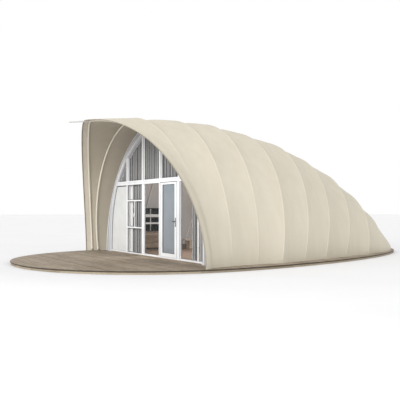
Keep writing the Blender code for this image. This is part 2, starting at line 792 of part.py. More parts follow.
def build_curtains(parent, finishes):
    """Make the plain solids of the curtains that hang behind the upper lights, the window and the side light."""
    behind_glass = FRAME_DEPTH + GAP * 2 + GLASS
    arch = clipped_above(glazing_line(), (TRANSOM_BOTTOM + TRANSOM_TOP) / 2)
    upper = prism(arch, behind_glass, behind_glass + CURTAIN_DEPTH)
    add_object("upper_curtain", upper, parent, finishes["curtain"])
    low = SILL_HEIGHT + GAP
    window = box(
        (bar_edges(0)[0], FRAME_DEPTH + GAP, low),
        (bar_edges(1)[1], FRAME_DEPTH + GAP + CURTAIN_DEPTH, LOWER_CURTAIN_TOP),
    )
    add_object("window_curtain", window, parent, finishes["curtain"])
    line = glazing_line()
    right = [(half_width_at(line, z), z) for z in SIDE_CURTAIN_LEVELS]
    outline = [(SIDE_CURTAIN_LEFT, SIDE_CURTAIN_LEVELS[0])] + right
    outline.append((SIDE_CURTAIN_LEFT, SIDE_CURTAIN_LEVELS[-1]))
    side = prism(outline, FRAME_DEPTH + GAP, FRAME_DEPTH + GAP + CURTAIN_DEPTH)
    add_object("side_curtain", side, parent, finishes["curtain"])


def build_furniture(parent, finishes):
    """Make the low cabinet with the open shelves on it, the box and the stool that show through the glass."""
    floor = FLOOR_THICKNESS + GAP
    ends = (CABINET_FRONT_Y, CABINET_FRONT_Y + CABINET_LENGTH)
    cabinet = box((CABINET_WALL_X, ends[0], floor), (CABINET_WALL_X + CABINET_DEPTH, ends[1], CABINET_HEIGHT))
    add_object("low_cabinet", cabinet, parent, finishes["cabinet_wood"])
    shelves = prism(shelves_section(), ends[0], ends[1])
    add_object("open_shelves", shelves, parent, finishes["shelf_black"])
    back_x = STOOL_FRONT_X - STOOL_WIDTH
    low_box = box((back_x, BOX_ENDS[0], floor), (STOOL_FRONT_X, BOX_ENDS[1], BOX_TOP))
    add_object("dark_box", low_box, parent, finishes["shelf_black"])
    stool = prism(stool_section(floor), back_x, STOOL_FRONT_X, axis="X")
    add_object("wooden_stool", stool, parent, finishes["cabinet_wood"])


def stool_section(floor):
    """Return the stool's section along the wall: a top board on a thin side and a thick side."""
    front, back = STOOL_ENDS
    under = STOOL_TOP - STOOL_TOP_BOARD
    thin, thick = STOOL_LEGS
    return [
        (front, floor),
        (front + thin, floor),
        (front + thin, under),
        (back - thick, under),
        (back - thick, floor),
        (back, floor),
        (back, STOOL_TOP),
        (front, STOOL_TOP),
    ]


def shelves_section():
    """Return the section of the shelf unit: an upright back with four boards that stand out into the room."""
    bottom = CABINET_HEIGHT + GAP
    inside = CABINET_WALL_X + SHELF_BACK
    edge = CABINET_WALL_X + SHELF_DEPTH
    section = [(CABINET_WALL_X, bottom + SHELF_BOARDS[-1][1]), (CABINET_WALL_X, bottom)]
    for low, high in SHELF_BOARDS:
        if low > 0:
            section.append((inside, bottom + low))
        section.append((edge, bottom + low))
        section.append((edge, bottom + high))
        if high < SHELF_BOARDS[-1][1]:
            section.append((inside, bottom + high))
    return section


def make_finishes():
    """Return the plain materials by name."""
    return {
        "membrane": material("membrane_cream", (0.76, 0.70, 0.58), 0.75),
        "pole": material("pole_sleeve_cream", (0.80, 0.76, 0.66), 0.6),
        "frame_paint": material("frame_white_paint", (0.86, 0.87, 0.88), 0.35),
        "closing_strip": material("closing_strip_grey_white", (0.72, 0.73, 0.75), 0.6),
        "white_panel": material("panel_white", (0.80, 0.80, 0.80), 0.5),
        "glass": material("glass_clear", (0.80, 0.84, 0.85), 0.05, alpha=0.25),
        "door_glass": material("glass_tinted", (0.45, 0.50, 0.55), 0.08, alpha=0.6),
        "dark_metal": material("lever_dark_metal", (0.07, 0.07, 0.08), 0.35, metallic=0.8),
        "steel": material("hinge_steel", (0.6, 0.6, 0.6), 0.35, metallic=0.9),
        "deck_timber": material("deck_weathered_boards", (0.36, 0.31, 0.26), 0.8),
        "edge_timber": material("deck_edge_tan", (0.62, 0.54, 0.42), 0.7),
        "floor_timber": material("floor_brown_boards", (0.30, 0.20, 0.15), 0.5),
        "curtain": material("curtain_grey_cloth", (0.42, 0.41, 0.42), 0.9),
        "cabinet_wood": material("cabinet_warm_wood", (0.42, 0.28, 0.19), 0.5),
        "shelf_black": material("shelf_black_board", (0.04, 0.04, 0.045), 0.5),
    }


def main():
    """Build the whole tent around the empty that carries its drawing frame."""
    clear_scene()
    finishes = make_finishes()
    tent = bpy.data.objects.new("tent_frame", None)
    bpy.context.collection.objects.link(tent)
    tent.location = (0.0, FRONT_Y, DECK_HEIGHT)
    build_deck(tent, finishes)
    build_poles(tent, finishes)
    build_membranes(tent, finishes)
    build_front_frame(tent, finishes)
    build_glazing(tent, finishes)
    build_door(tent, finishes)
    build_curtains(tent, finishes)
    build_furniture(tent, finishes)


main()
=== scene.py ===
"""Looks of the arched tent on its oval deck.

Every piece is drawn in the tent's own frame and then carried to the row frame: X runs across, Y runs back
from the outer face of the glazed front, Z runs up from the deck boards. Lengths are in metres.
"""

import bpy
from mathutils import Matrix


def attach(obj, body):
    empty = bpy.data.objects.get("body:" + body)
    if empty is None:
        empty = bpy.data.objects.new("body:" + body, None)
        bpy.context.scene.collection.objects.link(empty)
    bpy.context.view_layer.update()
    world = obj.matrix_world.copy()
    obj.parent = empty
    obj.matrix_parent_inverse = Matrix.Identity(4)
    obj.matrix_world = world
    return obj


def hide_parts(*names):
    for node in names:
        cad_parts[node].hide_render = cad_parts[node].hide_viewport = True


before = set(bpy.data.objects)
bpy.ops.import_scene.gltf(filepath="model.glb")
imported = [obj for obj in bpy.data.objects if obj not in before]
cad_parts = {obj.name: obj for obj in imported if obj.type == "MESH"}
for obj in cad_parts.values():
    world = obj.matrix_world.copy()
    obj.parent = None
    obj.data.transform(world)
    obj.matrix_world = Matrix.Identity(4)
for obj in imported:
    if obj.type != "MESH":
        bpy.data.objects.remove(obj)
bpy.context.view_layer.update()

import logging
import math
import random
from dataclasses import dataclass, field
from enum import Enum
from typing import Callable, Optional, Sequence

import bmesh
import bpy
from mathutils import Matrix, Vector

LOG = logging.getLogger("tent")

# Where the tent's own frame stands in the row frame
ORIGIN = Vector((0.0, -2.855, 0.081))

# Front folds of the curtains, in the row frame, where the painted shade in their folds starts
CURTAIN_FRONT_Y = -2.769

# Gap that keeps neighbouring faces apart
GAP = 0.0003

# Period of the wave pattern at scale one, and how far timber grain is drawn out
WAVE_PERIOD = 0.314
GRAIN_STRETCH = 0.06

UP = Vector((0, 0, 1))
FORWARD = Vector((0, -1, 0))
PLAIN = (255, 255, 255)
Tone = tuple[float, float, float]
Pair = tuple[float, float]
Outline = list[Pair]
Net = list[list[Vector]]
Nets = tuple[Net, Net]
Joints = tuple[tuple[float, ...], ...]
Material = bpy.types.Material
Socket = bpy.types.NodeSocket


class Body(Enum):
    """Moving bodies of the record."""

    TENT = "tent"
    DOOR = "door"


class Slot(Enum):
    """Material slots of the record."""

    EDGE_TIMBER = "edge_timber"
    DECK_TIMBER = "deck_timber"
    FLOOR_TIMBER = "floor_timber"
    POLE_SLEEVE = "pole_sleeve"
    ROD_METAL = "rod_metal"
    MEMBRANE = "membrane"
    FRAME_PAINT = "frame_paint"
    CLOSING_STRIP = "closing_strip"
    WHITE_PANEL = "white_panel"
    CLEAR_GLASS = "clear_glass"
    DARK_METAL = "dark_metal"
    HINGE_STEEL = "hinge_steel"
    CURTAIN = "curtain"
    CABINET_WOOD = "cabinet_wood"
    SHELF_BLACK = "shelf_black"


class Axis(Enum):
    """Directions that an outline is drawn out along."""

    X = "X"
    Y = "Y"
    Z = "Z"


def mix(first: float, second: float, share: float) -> float:
    """Return the value that lies a share of the way from first to second."""
    return first + (second - first) * share


def linear(colour: Sequence[float]) -> tuple[float, float, float, float]:
    """Turn a screen colour into the shader's own scale.

    Args:
        colour: Red, green and blue from 0 to 255, as a screen shows them.

    Returns:
        The same colour in linear light, with full alpha.
    """
    shares = [channel / 255 for channel in colour]
    bent = [share / 12.92 if share < 0.04045 else ((share + 0.055) / 1.055) ** 2.4 for share in shares]
    return bent[0], bent[1], bent[2], 1.0


def put_in_scene(name: str, data: bpy.types.ID) -> bpy.types.Object:
    """Make an object of some data and link it to the scene."""
    made = bpy.data.objects.new(name, data)
    bpy.context.scene.collection.objects.link(made)
    return made


# Finishes

class Shader:
    """A Principled material that is built up node by node."""

    def __init__(self, name: str, roughness: float, metallic: float = 0.0,
                 scale: Sequence[float] = (1, 1, 1)) -> None:
        """Start a material whose patterns lie fixed in the row frame.

        Args:
            name: Name of the material.
            roughness: Even roughness of the surface.
            metallic: Share of metal.
            scale: Stretch of the pattern space along X, Y and Z.
        """
        self.material = bpy.data.materials.new(name)
        self.material.use_nodes = True
        self.tree = self.material.node_tree
        self.surface = self.tree.nodes["Principled BSDF"]
        self.surface.inputs["Roughness"].default_value = roughness
        self.surface.inputs["Metallic"].default_value = metallic
        place = self.add("ShaderNodeTexCoord").outputs["Object"]
        stretch = self.add("ShaderNodeMapping", Scale=scale)
        self.link(place, stretch.inputs["Vector"])
        self.place = stretch.outputs["Vector"]

    def add(self, kind: str, **values: object) -> bpy.types.Node:
        """Add one node.

        Args:
            kind: Blender's name of the node type.
            values: Input values by socket name, with underscores for spaces.

        Returns:
            The new node.
        """
        node = self.tree.nodes.new(kind)
        for name, value in values.items():
            node.inputs[name.replace("_", " ")].default_value = value
        return node

    def link(self, start: Socket, end: Socket) -> None:
        """Join an output to an input."""
        self.tree.links.new(start, end)

    def noise(self, size: float, detail: float = 3.0, place: Optional[Socket] = None) -> Socket:
        """Add a noise pattern of soft patches.

        Args:
            size: Size of the largest patches.
            detail: Number of finer layers.
            place: Coordinates, the material's own if left out.

        Returns:
            The output from 0 to 1.
        """
        node = self.add("ShaderNodeTexNoise", Scale=1 / size, Detail=detail)
        self.link(place or self.place, node.inputs["Vector"])
        return node.outputs["Fac"]

    def blend(self, share: Socket, first: Sequence[float], second: Sequence[float],
              low: float = 0.3, high: float = 0.7) -> Socket:
        """Run from one colour to another with a pattern.

        Args:
            share: Pattern from 0 to 1.
            first: Screen colour at the low end.
            second: Screen colour at the high end.
            low: Pattern value that shows the first colour.
            high: Pattern value that shows the second colour.

        Returns:
            The colour output.
        """
        ramp = self.add("ShaderNodeValToRGB")
        ramp.color_ramp.elements[0].position = low
        ramp.color_ramp.elements[1].position = high
        ramp.color_ramp.elements[0].color = linear(first)
        ramp.color_ramp.elements[1].color = linear(second)
        self.link(share, ramp.inputs["Fac"])
        return ramp.outputs["Color"]

    def tint(self, base: Socket, over: Socket, share: float) -> Socket:
        """Multiply one colour by another.

        Args:
            base: Colour below.
            over: Colour that darkens it.
            share: Strength of the darkening.

        Returns:
            The mixed colour.
        """
        node = self.tree.nodes.new("ShaderNodeMix")
        node.data_type = "RGBA"
        node.blend_type = "MULTIPLY"
        node.inputs[0].default_value = share
        self.link(base, node.inputs[6])
        self.link(over, node.inputs[7])
        return node.outputs[2]

    def relief(self, height: Socket, depth: float, strength: float = 1.0,
               below: Optional[Socket] = None) -> Socket:
        """Add a bump.

        Args:
            height: Pattern from 0 to 1.
            depth: Depth of the relief.
            strength: Strength of the bump.
            below: Normal of an earlier bump.

        Returns:
            The new normal.
        """
        node = self.add("ShaderNodeBump", Strength=strength, Distance=depth)
        self.link(height, node.inputs["Height"])
        if below is not None:
            self.link(below, node.inputs["Normal"])
        return node.outputs["Normal"]

    def uneven(self, pattern: Socket, low: float, high: float) -> None:
        """Let the roughness run between two values with a pattern."""
        node = self.add("ShaderNodeMapRange", To_Min=low, To_Max=high)
        self.link(pattern, node.inputs["Value"])
        self.link(node.outputs["Result"], self.surface.inputs["Roughness"])

    def finish(self, colour: Socket, normal: Optional[Socket] = None) -> Material:
        """Join colour and normal to the surface.

        Args:
            colour: Colour output.
            normal: Normal output of the last bump.

        Returns:
            The finished material.
        """
        self.link(colour, self.surface.inputs["Base Color"])
        if normal is not None:
            self.link(normal, self.surface.inputs["Normal"])
        return self.material


@dataclass(frozen=True)
class ClothFinish:
    """Coated or woven cloth with a fine weave, soft patches and streaks that run down, and for curtains
    painted shade that deepens into the folds.
    """

    name: str
    light: Tone
    deep: Tone
    roughness: float = 0.6
    weave: float = 0.004
    relief: float = 0.0006
    sheen: float = 0.0
    # Depth over which painted shade deepens into a curtain's folds, and the colour of that shade at the back
    fold_depth: float = 0.0
    fold_shade_tone: Tone = (72, 72, 74)

    def material(self) -> Material:
        """Return the cloth's material."""
        shader = Shader(self.name, self.roughness)
        patches = shader.noise(size=1.6, detail=4.0)
        streaks = shader.add("ShaderNodeMapping", Scale=(4.0, 4.0, 0.35))
        shader.link(shader.place, streaks.inputs["Vector"])
        rain = shader.noise(size=0.9, detail=5.0, place=streaks.outputs["Vector"])
        colour = shader.blend(patches, self.deep, self.light, low=0.25, high=0.75)
        dirt = shader.blend(rain, (240, 238, 234), PLAIN, low=0.2, high=0.65)
        colour = shader.tint(colour, dirt, share=0.45)
        # Painted shade: darker from the front folds towards the back of a curtain
        if self.fold_depth:
            colour = shader.tint(colour, self.fold_shade(shader), share=1.0)
        normal = None
        for direction in ("X", "Y"):
            threads = WAVE_PERIOD / self.weave
            wave = shader.add("ShaderNodeTexWave", Scale=threads, Distortion=0.4, Detail=1.0)
            wave.bands_direction = direction
            shader.link(shader.place, wave.inputs["Vector"])
            normal = shader.relief(wave.outputs["Fac"], self.relief, strength=0.25, below=normal)
        normal = shader.relief(patches, depth=0.006, strength=0.25, below=normal)
        shader.uneven(rain, self.roughness + 0.08, self.roughness - 0.06)
        shader.surface.inputs["Sheen Weight"].default_value = self.sheen
        return shader.finish(colour, normal)

    def fold_shade(self, shader: Shader) -> Socket:
        """Make the painted shade that deepens from the front folds to the back of a curtain.

        Args:
            shader: Material in the making.

        Returns:
            The colour output.
        """
        parts = shader.add("ShaderNodeSeparateXYZ")
        shader.link(shader.place, parts.inputs["Vector"])
        back_y = CURTAIN_FRONT_Y + self.fold_depth
        reach = shader.add("ShaderNodeMapRange", From_Min=CURTAIN_FRONT_Y, From_Max=back_y)
        shader.link(parts.outputs["Y"], reach.inputs["Value"])
        return shader.blend(reach.outputs["Result"], PLAIN, self.fold_shade_tone, low=0.05, high=0.5)


@dataclass(frozen=True)
class TimberFinish:
    """Boards with grain along one axis, a tone of their own each, and worn patches."""

    name: str
    pale: Tone
    deep: Tone
    grain: Axis = Axis.X
    pitch: float = 0.145
    across: Axis = Axis.Y
    roughness: float = 0.75
    spread: float = 0.35

    def material(self) -> Material:
        """Return the timber's material."""
        scale = [GRAIN_STRETCH if axis is self.grain else 1 for axis in Axis]
        shader = Shader(self.name, self.roughness, scale=scale)
        whole = shader.add("ShaderNodeTexCoord").outputs["Object"]
        grain = shader.noise(size=0.022, detail=8.0)
        lines = shader.noise(size=0.006, detail=4.0)
        colour = shader.blend(grain, self.deep, self.pale, low=0.28, high=0.68)
        own = shader.blend(self.board_number(shader, whole), (205, 203, 200), PLAIN, low=0.0, high=1.0)
        worn = shader.blend(shader.noise(size=0.7, place=whole), (226, 222, 216), PLAIN)
        fine = shader.blend(lines, (196, 190, 182), PLAIN, low=0.3, high=0.55)
        colour = shader.tint(colour, own, self.spread * 2)
        colour = shader.tint(colour, worn, share=0.8)
        colour = shader.tint(colour, fine, share=0.7)
        normal = shader.relief(lines, depth=0.0015, strength=0.5)
        normal = shader.relief(grain, depth=0.003, strength=0.35, below=normal)
        shader.uneven(grain, self.roughness + 0.08, self.roughness - 0.1)
        return shader.finish(colour, normal)

    def board_number(self, shader: Shader, whole: Socket) -> Socket:
        """Return a random value for each board.

        Args:
            shader: Material in the making.
            whole: Coordinates without stretch.

        Returns:
            The output from 0 to 1.
        """
        parts = shader.add("ShaderNodeSeparateXYZ")
        shader.link(whole, parts.inputs["Vector"])
        count = shader.add("ShaderNodeMath")
        count.operation = "DIVIDE"
        count.inputs[1].default_value = self.pitch
        shader.link(parts.outputs[self.across.value], count.inputs[0])
        floor = shader.add("ShaderNodeMath")
        floor.operation = "FLOOR"
        shader.link(count.outputs[0], floor.inputs[0])
        tone = shader.add("ShaderNodeTexWhiteNoise")
        tone.noise_dimensions = "1D"
        shader.link(floor.outputs[0], tone.inputs["W"])
        return tone.outputs["Value"]


@dataclass(frozen=True)
class PaintFinish:
    """Powder coat, lacquer or plastic with a fine orange peel and faint grime."""

    name: str
    colour: Tone
    grime: Tone
    roughness: float = 0.35
    metallic: float = 0.0
    peel: float = 0.003

    def material(self) -> Material:
        """Return the paint's material."""
        shader = Shader(self.name, self.roughness, self.metallic)
        grime = shader.noise(size=0.35, detail=5.0)
        colour = shader.blend(grime, self.grime, self.colour, low=0.2, high=0.6)
        normal = shader.relief(shader.noise(self.peel, detail=2.0), depth=0.0004, strength=0.3)
        shader.uneven(grime, self.roughness + 0.1, self.roughness - 0.05)
        return shader.finish(colour, normal)


@dataclass(frozen=True)
class GlassFinish:
    """A pane that lets light through and shows a faint film of dust."""

    name: str
    colour: Tone
    film: Tone
    alpha: float

    def material(self) -> Material:
        """Return the pane's material."""
        shader = Shader(self.name, roughness=0.05)
        film = shader.noise(size=0.5, detail=4.0)
        shader.surface.inputs["Alpha"].default_value = self.alpha
        shader.surface.inputs["Specular IOR Level"].default_value = 0.3
        shader.uneven(film, low=0.03, high=0.14)
        return shader.finish(shader.blend(film, self.film, self.colour))


class Finishes:
    """All finishes of the tent, each made once."""

    def __init__(self) -> None:
        """Make every material."""
        self.add_cloths()
        self.add_paints()
        self.add_glass_and_timber()

    def add_cloths(self) -> None:
        """Make the membrane's and the curtains' cloth."""
        def cloth(name: str, light: Tone, deep: Tone, *more: float) -> Material:
            """Return one cloth's material."""
            return ClothFinish(name, light, deep, *more).material()

        self.membrane = cloth("membrane_cream", (197, 190, 173), (192, 185, 168), 0.62)
        # The seam band is a shade lighter than the membrane: a faint painted highlight along each ridge
        self.seam = cloth("seam_band_highlight_cream", (199, 192, 175), (194, 187, 170), 0.55)
        self.hem = cloth("foot_hem_cream", (196, 189, 173), (190, 183, 166), 0.6)
        # The edge binding is darker than the cloth as painted shade on the hood's front edge
        self.shaded_binding = cloth("edge_binding_shaded_taupe", (150, 141, 126), (138, 130, 115), 0.6, 0.002)
        # The hood's inner face is darker than the outer cloth as painted shade under the hood
        self.shaded_hood_lining = cloth("hood_lining_shaded_taupe", (181, 173, 157), (173, 165, 149), 0.7)
        # The hood's lip lining is lighter as painted light on the lip that faces the front
        self.lit_lip_lining = cloth("hood_lip_lit_cream", (208, 201, 187), (198, 191, 177), 0.7)
        self.room_lining = cloth("room_lining_grey", (188, 182, 178), (180, 174, 170), 0.7)
        # The front poles' sleeves are lighter than the cloth as painted light under the hood
        self.sleeve = cloth("pole_sleeve_cream", (232, 226, 213), (224, 217, 203), 0.6, 0.003)
        # The room's pole sleeves are lighter as painted light that offsets the poles' cast shadows
        self.lit_room_sleeve = cloth("room_sleeve_lit_grey", (204, 199, 195), (196, 190, 186), 0.6, 0.003)
        woven = (0.85, 0.002, 0.0006, 0.2)
        # The curtain's last value is the depth of the painted shade in its folds
        self.curtain = cloth("curtain_grey_fold_shaded", (154, 154, 153), (138, 138, 137), *woven, 0.09)
        self.sheer = cloth("curtain_white", (224, 223, 222), (206, 205, 204), *woven)

    def add_paints(self) -> None:
        """Make the painted, lacquered and metal parts' finishes."""
        def paint(name: str, colour: Tone, grime: Tone, *more: float) -> Material:
            """Return one paint's material."""
            return PaintFinish(name, colour, grime, *more).material()

        self.frame_white = paint("frame_white", (234, 235, 237), (221, 222, 224), 0.32)
        # The frame's grey body is painted shade under the hood on the white frame
        self.frame_shade = paint("frame_reveal_shaded_grey", (192, 193, 196), (180, 181, 184), 0.4)
        # The closing strip's grey is partly its own colour and partly painted shade under the hood
        self.strip = paint("closing_strip_grey_and_shade", (181, 182, 187), (168, 169, 174), 0.5)
        self.panel = paint("panel_white", (212, 213, 212), (203, 204, 203), 0.45)
        # The black gasket is partly painted shade: it also draws the shadow lines at the frame's, panel's
        # and door's edges
        self.gasket = paint("gasket_black_and_shadow_line", (38, 38, 40), (28, 28, 30), 0.6)
        self.lever = paint("lever_dark_grey", (74, 74, 78), (56, 56, 60), 0.32, 0.7, 0.002)
        self.hinge = paint("hinge_white", (226, 227, 229), (212, 213, 215), 0.35, 0.2, 0.002)
        self.shoe = paint("pole_shoe_taupe", (150, 144, 131), (134, 128, 116), 0.45, 0.2, 0.002)
        self.rod = paint("rod_light_grey", (196, 196, 195), (182, 182, 181), 0.4, 0.1)
        # The dark box's finish also paints shade on the cabinet's plinth and drawer gaps
        self.dark_box = paint("box_dark_brown", (96, 84, 74), (74, 64, 56), 0.6)
        self.black = paint("shelf_black", (27, 27, 29), (18, 18, 20), 0.45)
        self.edge = paint("shelf_edge_grey", (196, 194, 190), (180, 178, 174), 0.5)

    def add_glass_and_timber(self) -> None:
        """Make the panes' and the timbers' finishes."""
        def timber(name: str, pale: Tone, deep: Tone, *more: object) -> Material:
            """Return one timber's material."""
            return TimberFinish(name, pale, deep, *more).material()

        x, y, z = Axis
        self.glass = GlassFinish("glass_clear", (196, 202, 205), (188, 194, 198), 0.02).material()
        self.tinted = GlassFinish("glass_tinted", (142, 148, 154), (131, 142, 149), 0.86).material()
        self.deck = timber("deck_grey_brown", (184, 170, 151), (142, 128, 111))
        self.fascia = timber("fascia_tan", (186, 175, 155), (164, 152, 133), x, 0.9, x)
        # The boards' dark side faces are partly end grain and partly painted shade under their edges
        self.board_edge_grain_and_shade = timber("board_edge_grain_and_shade_dark", (92, 83, 71), (70, 62, 52))
        self.joist = timber("joist_pine", (190, 164, 124), (162, 136, 98), y, 0.45, x)
        self.floor = timber("floor_brown", (172, 148, 128), (132, 108, 90), x, 0.16, y, 0.5)
        self.cabinet = timber("cabinet_brown", (166, 146, 126), (126, 106, 88), y, 0.3, z, 0.5)
        self.stool = timber("stool_brown", (236, 214, 188), (198, 174, 150), y, 0.2, z, 0.5)


# Mesh making


def circle(sides: int, radius: float) -> Outline:
    """Return the corners of a regular outline about the middle."""
    turns = [2 * math.pi * side / sides for side in range(sides)]
    return [(radius * math.cos(turn), radius * math.sin(turn)) for turn in turns]


def inset_outline(outline: Outline, distance: float) -> Outline:
    """Move a closed outline inwards, with its corners kept sharp.

    Args:
        outline: Corners in order, either way round.
        distance: How far each side moves.

    Returns:
        The moved corners.
    """
    area = sum(a[0] * b[1] - b[0] * a[1] for a, b in zip(outline, outline[1:] + outline[:1]))
    side = 1.0 if area > 0 else -1.0
    moved = []
    for before, here, after in zip(outline[-1:] + outline[:-1], outline, outline[1:] + outline[:1]):
        first = Vector((here[0] - before[0], here[1] - before[1])).normalized()
        second = Vector((after[0] - here[0], after[1] - here[1])).normalized()
        normals = [Vector((-way.y, way.x)) * side for way in (first, second)]
        middle = (normals[0] + normals[1]).normalized()
        reach = distance / max(middle.dot(normals[0]), 0.3)
        moved.append((here[0] + middle.x * reach, here[1] + middle.y * reach))
    return moved


class Form:
    """A mesh in the making, drawn in the tent's own frame."""

    def __init__(self) -> None:
        """Start an empty mesh."""
        self.mesh = bmesh.new()

    def grid(self, rows: Sequence[Sequence[Vector]], finish: int = 0,
             wrap: bool = False) -> list[list[bmesh.types.BMVert]]:
        """Lay a net of faces over rows of points.

        Args:
            rows: Rows with the same number of points each.
            finish: Index of the material.
            wrap: Whether each row closes on itself.

        Returns:
            The rows of vertices.
        """
        net = [[self.mesh.verts.new(point) for point in row] for row in rows]
        for row, following in zip(net, net[1:]):
            for index in range(len(row) - (not wrap)):
                beside = (index + 1) % len(row)
                face = self.mesh.faces.new((row[index], row[beside], following[beside], following[index]))
                face.material_index = finish
        return net

    def skins(self, outer: Net, inner: Net, finishes: tuple[int, int] = (0, 0), lip_rows: int = 0) -> None:
        """Make a thin closed body from two matching nets.

        Args:
            outer: Rows of the outer face.
            inner: Rows of the inner face.
            finishes: Material indices of the outer and the inner face.
            lip_rows: Number of rows at the start whose inner face takes the next finish.
        """
        nets = [self.grid(rows, finish) for rows, finish in zip((outer, inner), finishes)]
        for row, following in zip(nets[1][:lip_rows], nets[1][1:]):
            for first, second in zip(row, following):
                for face in first.link_faces:
                    if second in face.verts:
                        face.material_index = finishes[1] + 1
        loops = []
        for net in nets:
            right = [row[-1] for row in net[1:]]
            left = [row[0] for row in net[-2:0:-1]]
            loops.append(net[0] + right + net[-1][-2::-1] + left)
        count = len(loops[0])
        for index in range(count):
            beside = (index + 1) % count
            self.mesh.faces.new((loops[0][index], loops[1][index], loops[1][beside], loops[0][beside]))

    def loft(self, rings: Sequence[Sequence[Vector]], finish: int = 0,
             side_finish: Optional[int] = None) -> None:
        """Join closed rings one after another and cap both ends.

        Args:
            rings: Closed rings of points.
            finish: Index of the material of the caps.
            side_finish: Index of the material of the sides, the caps' own if left out.
        """
        net = self.grid(rings, finish if side_finish is None else side_finish, wrap=True)
        for ring in (net[0], net[-1]):
            self.mesh.faces.new(ring).material_index = finish

    def prism(self, outline: Outline, low: float, high: float, axis: Axis = Axis.Z,
              chamfer: float = 0.0, finish: int = 0, side_finish: Optional[int] = None) -> None:
        """Draw a closed outline out along an axis.

        Args:
            outline: Corners in the two other axes, in X Y Z order.
            low: Place of the first end.
            high: Place of the second end.
            axis: Direction of the drawing.
            chamfer: Width of the bevel at both ends.
            finish: Index of the material.
            side_finish: Index of the material of the sides, the ends' own if left out.
        """
        levels = [(outline, low), (outline, high)]
        if chamfer:
            small = inset_outline(outline, chamfer)
            levels = [(small, low), (outline, low + chamfer), (outline, high - chamfer), (small, high)]
        rings = []
        for corners, level in levels:
            places = {
                Axis.X: [Vector((level, a, b)) for a, b in corners],
                Axis.Y: [Vector((a, level, b)) for a, b in corners],
                Axis.Z: [Vector((a, b, level)) for a, b in corners],
            }
            rings.append(places[axis])
        self.loft(rings, finish, side_finish)

    def box(self, low: Sequence[float], high: Sequence[float], soft: float = 0.003,
            finish: int = 0) -> None:
        """Add a box with soft edges.

        Args:
            low: Lowest corner.
            high: Highest corner.
            soft: Width of the rounding.
            finish: Index of the material.
        """
        made = bmesh.ops.create_cube(self.mesh, size=1.0)["verts"]
        size = [b - a for a, b in zip(low, high)]
        middle = [(a + b) / 2 for a, b in zip(low, high)]
        bmesh.ops.scale(self.mesh, vec=size, verts=made)
        bmesh.ops.translate(self.mesh, vec=middle, verts=made)
        faces = {face for vert in made for face in vert.link_faces}
        for face in faces:
            face.material_index = finish
        edges = list({edge for vert in made for edge in vert.link_edges})
        soft = min(soft, min(size) * 0.3)
        bmesh.ops.bevel(self.mesh, geom=edges, offset=soft, segments=2, profile=0.5, affect="EDGES")

    def tube(self, path: Sequence[Vector], radius: float, sides: int = 12, finish: int = 0,
             level_ends: bool = False) -> None:
        """Run a round tube along a path.

        Args:
            path: Points of the middle line.
            radius: Radius of the tube.
            sides: Number of flats around.
            finish: Index of the material.
            level_ends: Whether the ends are cut level with the deck.
        """
        rings = []
        last = len(path) - 1
        for index, point in enumerate(path):
            tangent = (path[min(index + 1, last)] - path[max(index - 1, 0)]).normalized()
            start = Vector((0, 1, 0)) if abs(tangent.y) < 0.9 else Vector((1, 0, 0))
            side = start.cross(tangent).normalized()
            other = tangent.cross(side)
            ring = [point + side * a + other * b for a, b in circle(sides, radius)]
            if level_ends and index in (0, last):
                ring = [corner + tangent * ((GAP - corner.z) / tangent.z) for corner in ring]
            rings.append(ring)
        self.loft(rings, finish)

    def lathe(self, base: Vector, axis: Vector, profile: Outline, sides: int = 16, finish: int = 0) -> None:
        """Turn a profile about an axis.

        Args:
            base: Start of the axis.
            axis: Direction of the axis.
            profile: Pairs of radius and place along the axis.
            sides: Number of flats around.
            finish: Index of the material.
        """
        turn = axis.to_track_quat("Z", "Y").to_matrix()
        rings = []
        for radius, along in profile:
            rings.append([base + turn @ Vector((a, b, along)) for a, b in circle(sides, radius)])
        self.loft(rings, finish)

    def add(self, name: str, materials: Sequence[Material], slot: Slot, body: Body = Body.TENT,
            replaces: Sequence[str] = (), smooth: float = 40.0) -> bpy.types.Object:
        """Put the finished mesh into the scene as a piece.

        Args:
            name: Name of the piece.
            materials: Materials by index.
            slot: Material slot of the record; not used.
            body: Body that the piece rides on.
            replaces: CAD nodes that the piece stands for.
            smooth: Edges that turn less than this many degrees are shaded smooth.

        Returns:
            The new object.
        """
        bmesh.ops.recalc_face_normals(self.mesh, faces=self.mesh.faces)
        if self.mesh.calc_volume(signed=True) < 0:
            bmesh.ops.reverse_faces(self.mesh, faces=self.mesh.faces)
        bmesh.ops.translate(self.mesh, vec=ORIGIN, verts=self.mesh.verts)
        limit = math.radians(smooth)
        for face in self.mesh.faces:
            face.smooth = True
        for edge in self.mesh.edges:
            edge.smooth = edge.calc_face_angle(0.0) < limit
        data = bpy.data.meshes.new(name)
        self.mesh.to_mesh(data)
        self.mesh.free()
        piece = put_in_scene(name, data)
        for material in materials:
            data.materials.append(material)
        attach(piece, body.value)
        if replaces:
            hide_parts(*replaces)
        LOG.info("made %s", name)
        return piece


def dress_node(name: str, material: Material, soft: float = 0.0) -> None:
    """Give a CAD node its finish.

    Args:
        name: Name of the node.
        material: The finish.
        soft: Width of a rounding on its sharp edges.
    """
    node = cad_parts[name]
    if not node.data.materials:
        node.data.materials.append(material)
    for place in node.material_slots:
        place.material = material
    if soft:
        rounding = node.modifiers.new("soft_edges", "BEVEL")
        rounding.width = soft
        rounding.segments = 2
        rounding.limit_method = "ANGLE"
        rounding.angle_limit = math.radians(50)
    LOG.info("dressed %s", name)


# The tent's form

